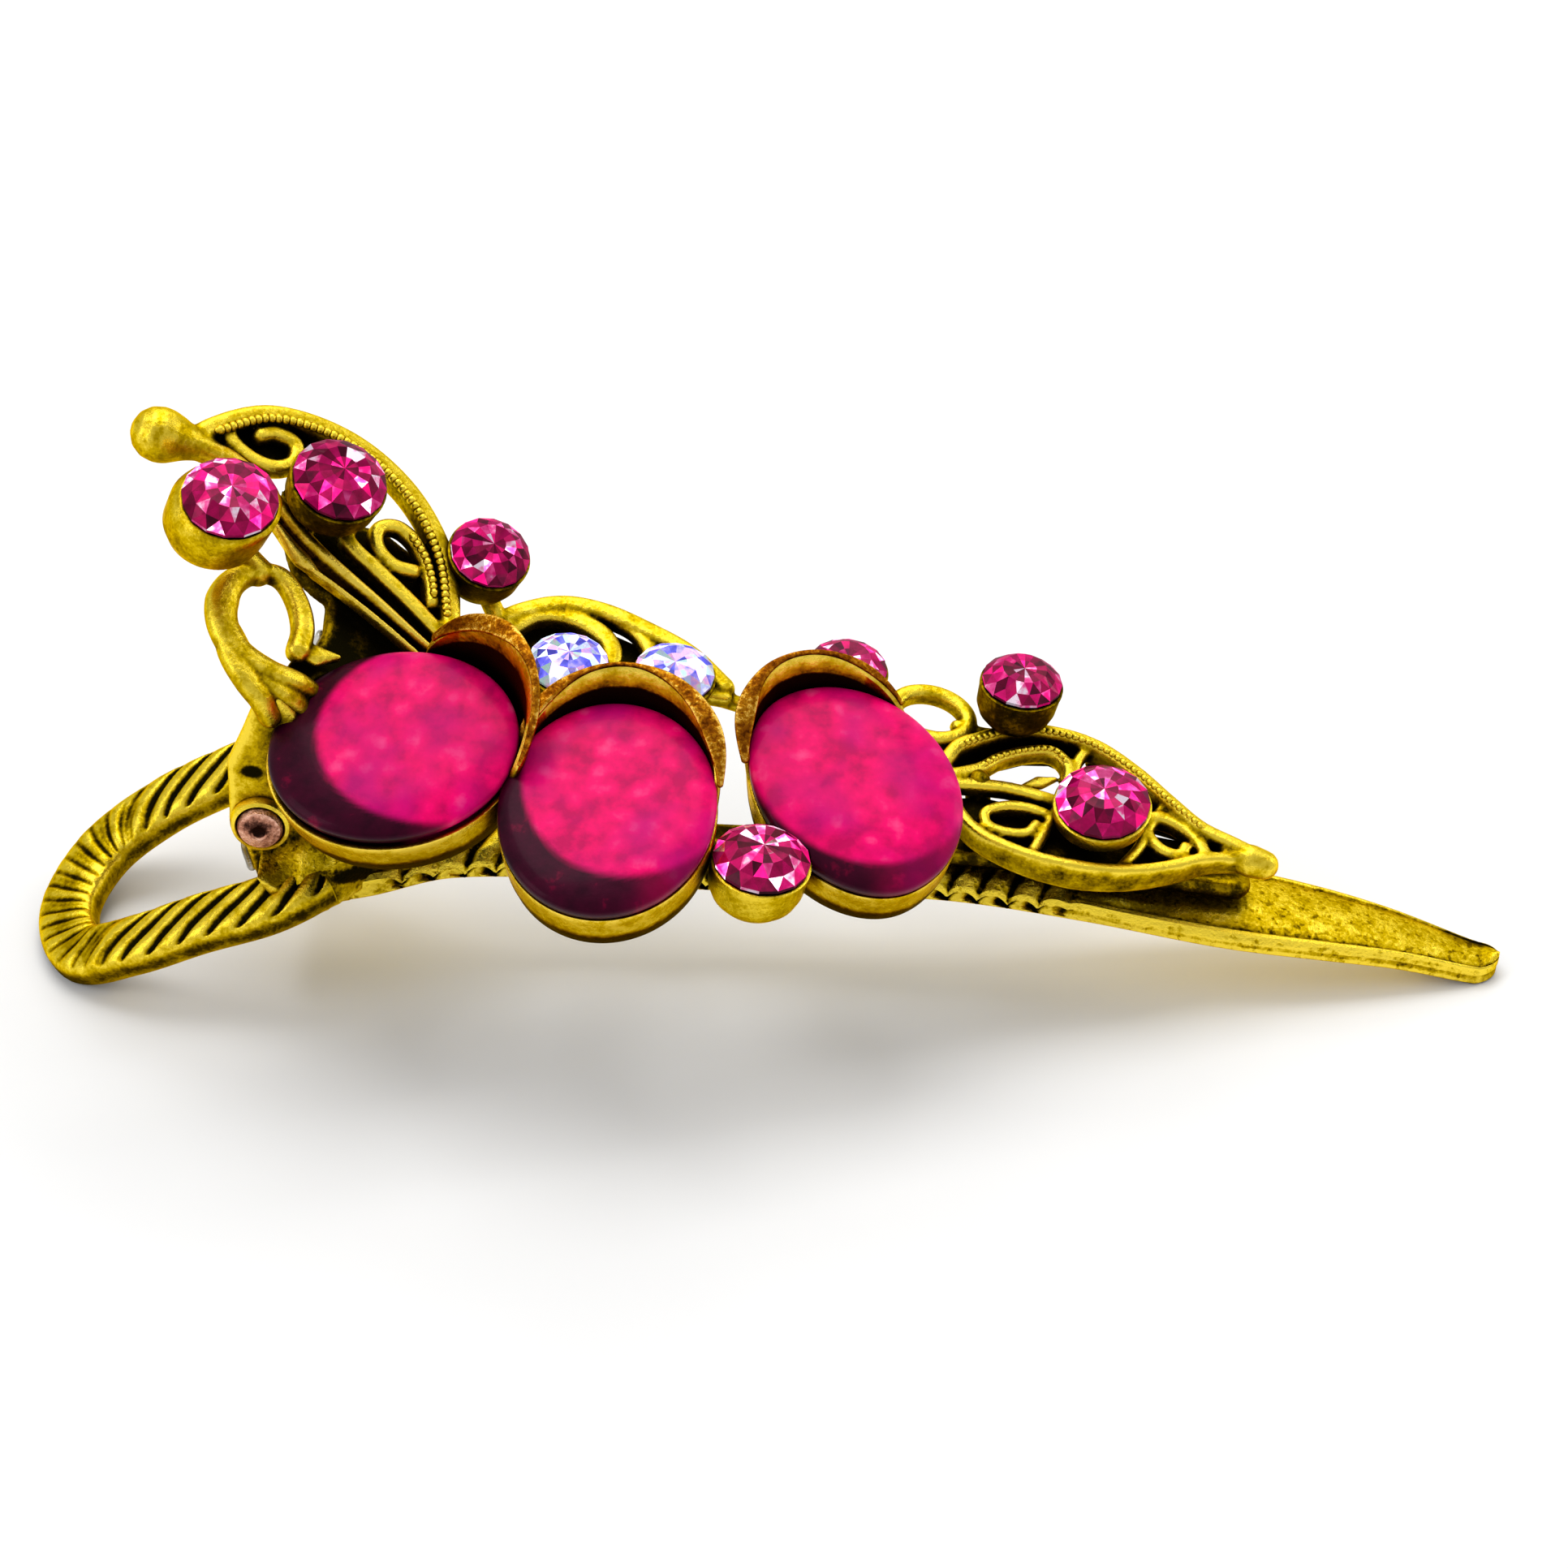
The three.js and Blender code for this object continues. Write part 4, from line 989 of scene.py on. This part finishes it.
def front_leaf():
    """The leaf over the blade: a far rim and a deeper near one, with an arch, scrolls and struts between."""
    near_rim = [
        (0.1, -0.2, -0.3), (0.6, -2.0, -0.3), (2.0, -3.8, -0.3), (4.1, -4.6, -0.3), (6.2, -4.8, -0.3),
        (8.2, -4.6, -0.3), (10.2, -4.0, -0.3), (12.1, -3.0, -0.3), (13.7, -2.0, -0.2), (15.8, -1.4, -0.1),
    ]
    arch_scroll = [
        (5.4, -1.8), (4.5, -1.7), (3.4, -1.9), (2.4, -2.7), (2.6, -3.4), (3.6, -3.6), (4.6, -3.3),
        (5.0, -2.6),
    ]
    return wires(Shell(), front_leaf_place, [
        (FRONT_RIM, 0.42, 0.75, 3.5),
        (near_rim, 0.34, taper([0, 0.2, 0.5, 0.85, 1], [0.5, 0.7, 0.95, 0.75, 0.5]), 4),
        (FRONT_ARCH, 0.36, 0.5, 3.5),
        ([(0.2, -1.4), (2.2, -0.9), (3.6, -0.7), (5.8, -0.8)], 0.36, 0.45, 3.5),
        (arch_scroll, 0.3, 0.45, 3.5),
        ([(9.8, -1.0), (11.0, -0.2), (12.3, -0.5), (13.2, -1.3), (13.5, -2.0)], 0.38, 0.5, 3.5),
        ([(10.3, -0.6), (10.6, -1.5), (11.4, -2.2), (12.3, -2.2), (12.5, -1.6)], 0.34, 0.4, 3),
        ([(5.0, -4.5), (5.8, -1.6), (6.4, 0.8), (6.5, 2.2), (6.9, 3.2)], 0.3, 0.45, 3),
        ([(9.4, -4.1), (10.2, -2.4), (10.6, -0.8), (11.2, 0.8)], 0.3, 0.4, 3),
        ([(4.0, -0.2), (4.8, 0.3), (5.6, 0.8)], taper([0, 0.5, 1], [0.1, 0.4, 0.1]), 0.2, 3),
        ([(14.6, -1.3), (15.6, -1.3), (16.5, -1.35)], taper([0, 0.6, 1], [0.5, 0.85, 0.75]), None, 2),
    ])


def front_milgrain():
    rim = [(x, y - 0.12) for x, y in FRONT_RIM[1:-2]]
    shell = beads(Shell(), front_leaf_place, rim, 0.2, 0.34, 0.66)
    return beads(shell, front_leaf_place, FRONT_ARCH[1:-1], 0.2, 0.34, 0.42)


# ---- petals ----
CABOCHON_LONG, CABOCHON_SHORT, CABOCHON_HEIGHT = 12.3, 10.5, 3.2
CUP_BASE, CUP_DEPTH, CUP_STEP = -2.0, 2.65, 0.84
CUP_LONG, CUP_SHORT = CABOCHON_LONG / 2 + 0.4, CABOCHON_SHORT / 2 + 0.4
CUP_WALL = 0.045
HOOD_FLARE = 0.05
HOOD_STATIONS = 90

# The hood rises between the turns start and end, in degrees. spread is the rim's size, and narrowing that of
# its side toward the place's -y. lip holds half widths along the hood's edge, and crescent says how far
# the painted shade on the stone's steep side reaches in.
Petal = namedtuple("Petal", "place start end rise spread narrowing lip crescent")
PETALS = [
    Petal(
        Place((-18.35, -5.9, 15.4), (-1, -0.12, 0), (-0.1, -0.4, 0.91)), start=152, end=255, rise=3.8,
        spread=0.965, narrowing=1.0, lip=(0.12, 0.2, 0.2, 0.3, 0.5, 0.5, 0.2), crescent=0.42,
    ),
    Petal(
        Place((-7.95, -9.0, 14.2), (-0.1, -1, 0), (0.0, -0.33, 0.944)), start=104, end=249, rise=2.75,
        spread=0.925, narrowing=1.0, lip=(0.15, 0.5, 0.35, 0.13, 0.15, 0.35, 0.15), crescent=0.37,
    ),
    Petal(
        Place((3.35, -5.1, 12.9), (0.56, -0.83, 0), (0.12, -0.36, 0.925)), start=114, end=238, rise=2.7,
        spread=0.925, narrowing=0.85, lip=(0.1, 0.2, 0.14, 0.15, 0.3, 0.5, 0.2), crescent=0.28,
    ),
]


def hood_rise(turn, petal):
    """The hood's rise at a turn in degrees: steep at its two ends and nearly even between them."""
    share = np.clip((np.mod(turn, 360) - petal.start) / (petal.end - petal.start), 0, 1)
    return petal.rise * np.sin(math.pi * share) ** 0.6


def narrowed(y, petal):
    """The oval's y with one side drawn in."""
    return np.where(y < 0, y * petal.narrowing, y)


def petal_shape(petal):
    """Turns a round profile oval and raises its upper part into the hood."""
    def shape(ring, turn):
        share = max(0.0, (ring[0, 2] - CUP_STEP) / (CUP_DEPTH - CUP_STEP))
        rise = share * hood_rise(np.degrees(turn), petal)
        spread = petal.spread + HOOD_FLARE * rise
        x = ring[:, 0] * spread * CUP_LONG
        y = narrowed(ring[:, 1], petal) * spread * CUP_SHORT
        return np.column_stack([x, y, ring[:, 2] + rise + CUP_BASE])
    return shape


def hood_lip(petal):
    """A flat band along the hood's edge, broad where the edge curls outward."""
    turn = np.linspace(petal.start + 5, petal.end - 5, HOOD_STATIONS)
    rise = hood_rise(turn, petal)
    spread = petal.spread + HOOD_FLARE * rise
    x = CUP_LONG * np.cos(np.radians(turn)) * spread
    y = CUP_SHORT * narrowed(np.sin(np.radians(turn)), petal) * spread
    line = petal.place.out(np.column_stack([x, y, CUP_BASE + CUP_DEPTH + rise]))
    shares = np.linspace(0, 1, len(petal.lip))
    wide = eased(list(zip(shares, petal.lip)), HOOD_STATIONS)
    return Shell().tube(line, petal.place.z, wide, 0.13, 24, 3)


def on_base(height):
    """A height over the cup's base for a profile's tip, which petal_shape leaves where it is."""
    return height + CUP_BASE


def petal_cup(petal):
    """A thin oval cup whose upper edge rises into the hood."""
    wall, edge = CUP_WALL, CUP_DEPTH
    outside = [
        (0, on_base(0)), (0.6, 0.0), (0.86, 0.02), (0.94, 0.2), (0.97, CUP_STEP), (0.98, 1.3), (0.985, 1.8),
        (0.998, 2.2), (1.004, edge - 0.1), (0.998, edge),
    ]
    inside = [
        (0.985, edge + 0.01), (0.996 - wall, edge - 0.1), (0.985 - wall, 1.8), (0.975 - wall, 1.3),
        (0.955 - wall, CUP_STEP), (0.88 - wall, 0.62), (0, on_base(0.6)),
    ]
    return Shell().lathe([*outside, *inside], petal.place, 192, petal_shape(petal))


def petal_space(petal):
    """The filled space of a petal with its stone, which keeps its neighbours out."""
    profile = [(0, on_base(-0.1)), (0.8, -0.1), (0.98, 0.6), (1.012, CUP_DEPTH), (0, on_base(CUP_DEPTH))]
    return Shell().lathe(profile, petal.place, 96, petal_shape(petal))


def shade_inside_of(petal):
    """Paints shade inside a cup and its hood, and leaves the rim bright."""
    def paint(points):
        x, y, z = petal.place.into(points)
        y = np.where(y < 0, y / petal.narrowing, y)
        rise = hood_rise(np.degrees(np.arctan2(y / CUP_SHORT, x / CUP_LONG)), petal)
        share = np.clip((z - CUP_BASE - CUP_STEP) / (CUP_DEPTH - CUP_STEP + rise), 0, 1)
        across = np.hypot(x / CUP_LONG, y / CUP_SHORT) / (petal.spread + HOOD_FLARE * rise * share)
        below_rim = CUP_BASE + CUP_DEPTH + rise - z
        return 1.1 * smooth_step(0.985, 0.965, across) * smooth_step(0.05, 0.8, below_rim)
    return paint


def cabochon(petal):
    """A cushion: nearly upright sides under a flattened dome."""
    base, foot, corner = CUP_BASE + 0.75, 2.45, 2 / 2.7
    profile = [(0, base), (0.84, base), (0.86, base + 1.8), (0.95, base + 1.9), (0.985, base + 2.1)]
    for swell in np.linspace(0, math.pi / 2, 30)[:-1]:
        height = foot + (CABOCHON_HEIGHT - foot) * math.sin(swell) ** corner
        profile.append((0.995 * math.cos(swell) ** corner, base + height))
    profile.append((0, base + CABOCHON_HEIGHT))

    def shape(ring, turn):
        x, y = ring[:, 0] * CABOCHON_LONG / 2, narrowed(ring[:, 1], petal) * CABOCHON_SHORT / 2
        return np.column_stack([x, y, ring[:, 2]])
    return Shell().lathe(profile, petal.place, 144, shape)


def shaded_steep_side(petal):
    """Paints shade on the crescent of a stone that faces away from the flower and to the rear, less toward
    the tip.
    """
    place = petal.place

    def paint(points):
        x, y, _ = place.into(points)
        flat = np.stack([x / (CABOCHON_LONG / 2), y / (CABOCHON_SHORT / 2)], axis=1)
        rear = np.array([np.dot(place.x, (-1, -0.6, 0)), np.dot(place.y, (-1, -0.6, 0))])
        away = unit(np.array([1.0, 0.0]) + unit(rear))
        fading = 1 - 0.4 * smooth_step(0.5, 5.0, points[:, 0] - place.origin[0])
        return fading * smooth_step(0.96, 1.04, np.linalg.norm(flat + petal.crescent * away, axis=1))
    return paint


# ---- round stones ----
LARGE, SMALL = 4.7, 4.0
# depth is the cup's, bulge is how far the cup stands out past the stone, and patina is how dark
# the cup is: its patina, and painted shade for cups that sit in shadow, less for lit ones.
Chaton = namedtuple("Chaton", "name size depth bulge place patina")
BRIGHT, DULL, DARK = 0.12, 0.3, 0.7


def upright(at, normal):
    return Place(at, (1, 0, 0), normal)


CHATONS = [
    Chaton("pink_chaton_1", LARGE, 3.3, 0.3, upright((-26.5, -1.0, 26.8), (0.2, -0.32, 0.93)), DULL),
    Chaton("pink_chaton_2", LARGE, 2.2, 0.05, upright((-21.9, 3.85, 24.85), (0.33, -0.32, 0.89)), DARK),
    Chaton("pink_chaton_3", SMALL, 2.4, 0.05, upright((-14.8, 5.0, 20.1), (0.3, -0.35, 0.88)), DARK),
    Chaton("pink_chaton_4", SMALL, 2.2, 0.05, upright((2.9, 4.2, 14.3), (0.1, -0.2, 0.97)), DARK),
    Chaton("pink_chaton_5", SMALL, 2.4, 0.05, upright((11.6, 4.0, 14.0), (0.13, -0.08, 0.99)), DARK),
    Chaton("pink_chaton_6", LARGE, 1.5, 0.05, upright((15.75, -1.3, 10.6), (0.05, -0.22, 0.97)), BRIGHT),
    Chaton("pink_chaton_7", LARGE, 2.6, 0.05, upright((-0.55, -10.3, 13.15), (0.13, -0.11, 0.985)), BRIGHT),
    Chaton("ab_chaton_1", SMALL, 1.6, 0.05, upright((-10.8, 2.4, 15.4), (0.1, -0.2, 0.97)), DARK),
    Chaton("ab_chaton_2", SMALL, 1.4, 0.05, upright((-5.6, 2.8, 14.7), (0.1, -0.2, 0.97)), DARK),
]


def chaton_stone(chaton):
    """A cut stone: a table, star and main facets, the girdle and the pavilion."""
    r = chaton.size / 2
    # Each ring's radius, its height, and whether its corners lie between those of the ring before.
    rings = [
        (0.3 * r, 0.5 * r, 0), (0.56 * r, 0.5 * r, 0), (0.8 * r, 0.31 * r, 1), (1.0 * r, 0.12 * r, 0),
        (1.0 * r, 0.05 * r, 0), (0.62 * r, -0.2 * r, 1), (0.1 * r, -0.42 * r, 0),
    ]
    around = 16
    points = []
    for radius, height, between in rings:
        points.append(circle(radius, (np.arange(around) + 0.5 * between) / around * TAU, height))
    points = np.vstack([*points, [[0, 0, 0.5 * r], [0, 0, -0.45 * r]]])
    top, bottom = len(points) - 2, len(points) - 1
    faces = [[top, j, (j + 1) % around] for j in range(around)]
    for i in range(len(rings) - 1):
        for j in range(around):
            k = (j + 1) % around
            a, b, c, d = i * around + j, i * around + k, (i + 1) * around + k, (i + 1) * around + j
            if rings[i][2] == rings[i + 1][2]:
                faces.append([a, d, c, b])
            elif rings[i + 1][2]:
                faces += [[a, d, b], [b, d, c]]
            else:
                faces += [[a, d, c], [a, c, b]]
    last = (len(rings) - 1) * around
    faces += [[bottom, last + (j + 1) % around, last + j] for j in range(around)]
    return Shell().add(chaton.place.out(points), faces)


def foil_layers(made, place, seed):
    """Gives every face a random tone that paints the foil's sparkle, and the direction of the foil seen
    through it.
    """
    chance = np.random.default_rng(seed)
    mesh = made.data
    count = len(mesh.polygons)
    centres = np.array([p.center for p in mesh.polygons])
    normals = np.array([p.normal for p in mesh.polygons])
    local = (centres - ORIGIN) / MM - place.origin
    lean = 0.88 * (chance.random(count) - 0.35)[:, None]
    radial = local - (local @ place.z)[:, None] * place.z
    radial /= np.maximum(np.linalg.norm(radial, axis=1), 1e-6)[:, None]
    twist = np.cross(place.z, radial) * (0.7 * (chance.random(count) - 0.5))[:, None]
    foil = place.z - radial * lean + twist
    foil = 0.75 * foil / np.linalg.norm(foil, axis=1)[:, None] + 0.25 * normals
    foil /= np.linalg.norm(foil, axis=1)[:, None]
    mesh.attributes.new("foil", "FLOAT_VECTOR", "FACE").data.foreach_set("vector", foil.ravel())
    mesh.attributes.new("facet_tone_and_sparkle", "FLOAT", "FACE").data.foreach_set("value", chance.random(count))


def chaton_cup(chaton):
    """A thin-lipped cup, which swells below its lip and to the rear where it stands out past the stone."""
    half, depth, bulge = chaton.size / 2, chaton.depth, chaton.bulge
    r, lip, inner = half + bulge, half + 0.09, half - 0.12
    profile = [
        (0, -depth), (0.5 * r, -depth), (0.72 * r, -depth * 0.93), (0.88 * r, -depth * 0.76),
        (0.97 * r, -depth * 0.55), (r, -0.4 - 0.6 * bulge), (max(lip, r - 0.25 * bulge), -0.22), (lip, -0.06),
        (lip - 0.07, -0.01), (inner, -0.02), (inner - 0.1, -0.2), (inner * 0.6, -0.35), (0, -0.4),
    ]
    bowl = Shell().lathe(profile, chaton.place, 64)
    bowl.points[:, 0] -= 1.6 * bulge * smooth_step(0.0, -1.2, chaton.place.into(bowl.points)[2])
    return bowl


def chaton_space(chaton):
    """The filled space of a round stone with its cup, which keeps its neighbours out."""
    r, foot = chaton.size / 2 + chaton.bulge, -chaton.depth - 0.1
    wall = r + 0.05
    profile = [(0, foot), (0.8 * r, foot), (wall, -chaton.depth / 2), (wall, 0.3), (0, 0.3)]
    return Shell().lathe(profile, chaton.place, 48)


# ---- pieces of the lower body ----
LOWER, UPPER = "lower", "upper"
GOLD_SLOT, CUP_SLOT = "antique_gold", "copper_gold"

blade = lower_jaw()
piece("lower_jaw_blade", blade, blade_gold, LOWER, GOLD_SLOT, ["lower_jaw"], crease=35, paint=blade_light_and_shade)
piece("lower_jaw_ears", cast(lower_ears(), 0.11, 3), blade_gold, LOWER, GOLD_SLOT, paint=ear_dimple_shade)
piece("finger_loop_bar", finger_loop(), gold, LOWER, GOLD_SLOT, ["finger_loop"], crease=50, paint=loop_stain)
piece("hinge_rivet", hinge_pin(), rivet_copper, LOWER, "copper_rivet", ["hinge_pin"], paint=rivet_dark_patch)
coil, upper_leg = spring_parts()
piece("spring_coil", coil, spring_steel, LOWER, "spring_steel", ["torsion_spring"])

# ---- pieces of the upper body ----
upper_frame = cast(upper_jaw_frame(), 0.16, 3)
side_loop = carved(cast(lever_side_loop()), petal_space(PETALS[0]))
piece("rivet_collars", rivet_collars(), gold, UPPER, GOLD_SLOT)
piece("spring_upper_leg", upper_leg, spring_steel, UPPER, "spring_steel")
piece("upper_jaw_bar", upper_frame, gold, UPPER, GOLD_SLOT, ["upper_jaw_frame"], paint=frame_light_and_shade)
# Dark sheets that stand for the shade seen through the openwork.
piece("dark_shade_sheets", shade_sheets(), gold, UPPER, GOLD_SLOT, paint=evenly(0.75))
piece("lever_leaf_casting", cast(lever_leaf(), 0.1), gold, UPPER, GOLD_SLOT, ["lever_leaf"])
piece("lever_leaf_midrib", cast(lever_midrib()), midrib_copper, UPPER, GOLD_SLOT)
piece("lever_leaf_milgrain", lever_milgrain(), gold, UPPER, GOLD_SLOT, rounds=4)
piece("side_loop_casting", side_loop, gold, UPPER, GOLD_SLOT, ["lever_side_loop"])
piece("wing_casting", cast(middle_wing()), gold, UPPER, GOLD_SLOT, ["middle_wing"])
piece("ring_casting", cast(side_ring()), gold, UPPER, GOLD_SLOT, ["side_ring"])
piece("front_leaf_casting", cast(front_leaf(), 0.1), gold, UPPER, GOLD_SLOT, ["front_leaf"])
piece("front_leaf_milgrain", front_milgrain(), gold, UPPER, GOLD_SLOT, rounds=4)

# The last pink stone stands between the petals, which are cut round it.
flower_stone_space = chaton_space(CHATONS[6])
for number, petal in enumerate(PETALS, 1):
    nearer = [other for other in PETALS if other.place.origin[1] < petal.place.origin[1]]
    in_front = [petal_space(other) for other in nearer]
    in_front += [cabochon(other) for other in nearer]
    cup = carved(petal_cup(petal), *in_front, flower_stone_space)
    stone = carved(cabochon(petal), *in_front, flower_stone_space)
    piece(f"petal_cup_{number}_shell", cup, cup_gold, UPPER, CUP_SLOT, [f"petal_cup_{number}"],
          paint=shade_inside_of(petal))
    piece(f"petal_lip_{number}", hood_lip(petal), lip_copper, UPPER, CUP_SLOT, paint=evenly(0.27))
    piece(f"cabochon_{number}_dome", stone, magenta_glass, UPPER, "magenta_glass", [f"cabochon_{number}"],
          crease=60, paint=shaded_steep_side(petal))

for number, chaton in enumerate(CHATONS):
    name = chaton.name
    glass, slot = (aurora_glass, "aurora_glass") if name.startswith("ab") else (pink_glass, "pink_glass")
    piece(f"{name}_bezel", chaton_cup(chaton), gold, UPPER, GOLD_SLOT, [f"{name}_cup"],
          paint=evenly(chaton.patina))
    stone = piece(f"{name}_stone", chaton_stone(chaton), glass, UPPER, slot, [name], crease=8)
    foil_layers(stone, chaton.place, 11 + number)


# ---- stage ----
def floor():
    material, tree, skin, place = new_material("pale_floor")
    pale = ramp(tree, noise(tree, place, 40.0, 2.0), [(0.3, (0.93, 0.93, 0.93)), (0.7, (0.97, 0.97, 0.97))])
    feed(tree, skin, {"Base Color": pale, "Roughness": 0.9})
    reach = 3.0
    corners = [(-reach, -reach, 0), (reach, -reach, 0), (reach, reach, 0), (-reach, reach, 0)]
    mesh = made_mesh("pale_floor", corners, [[0, 1, 2, 3]])
    mesh.materials.append(material)
    made = linked("pale_floor", mesh)


LAMPS_AIM = (0, 0, 0.012)


def lamp(name, at, width, height, watts):
    light = bpy.data.lights.new(name, "AREA")
    light.shape = "RECTANGLE"
    light.size, light.size_y, light.energy = width, height, watts
    made = linked(name, light)
    made.location = at
    made.rotation_euler = (Vector(LAMPS_AIM) - Vector(at)).to_track_quat("-Z", "Y").to_euler()


def studio():
    world = bpy.data.worlds.new("studio")
    SCENE.world = world
    world.use_nodes = True
    tree = world.node_tree
    feed(tree, tree.nodes["Background"], {"Color": (1.0, 1.0, 1.0, 1), "Strength": 0.62})
    lamp("softbox_back", (0.0, 0.45, 0.37), 0.5, 0.25, 0.5)
    lamp("softbox_top", (-0.05, 0.12, 0.42), 0.35, 0.22, 0.75)
    lamp("softbox_left", (-0.4, -0.2, 0.25), 0.2, 0.3, 0.4)
    lamp("strip_right", (0.35, 0.15, 0.2), 0.06, 0.3, 0.25)


def camera():
    """At the object's front, a little to its right, looking down."""
    distance, azimuth, elevation = 280.0, math.radians(3.0), math.radians(36.0)
    aim = np.array([0, 0, 10.3])
    level = math.cos(elevation)
    back = np.array([math.sin(azimuth) * level, -math.cos(azimuth) * level, math.sin(elevation)])
    lens = bpy.data.cameras.new("camera")
    lens.lens = 129.9
    lens.sensor_width = 36.0
    lens.clip_start, lens.clip_end = 0.01, 20.0
    made = linked("camera", lens)
    made.location = ORIGIN + (aim + back * distance) * MM
    made.rotation_euler = (-Vector(back)).to_track_quat("-Z", "Y").to_euler()
    SCENE.camera = made


floor()
studio()
camera()
SCENE.view_settings.view_transform = "Standard"
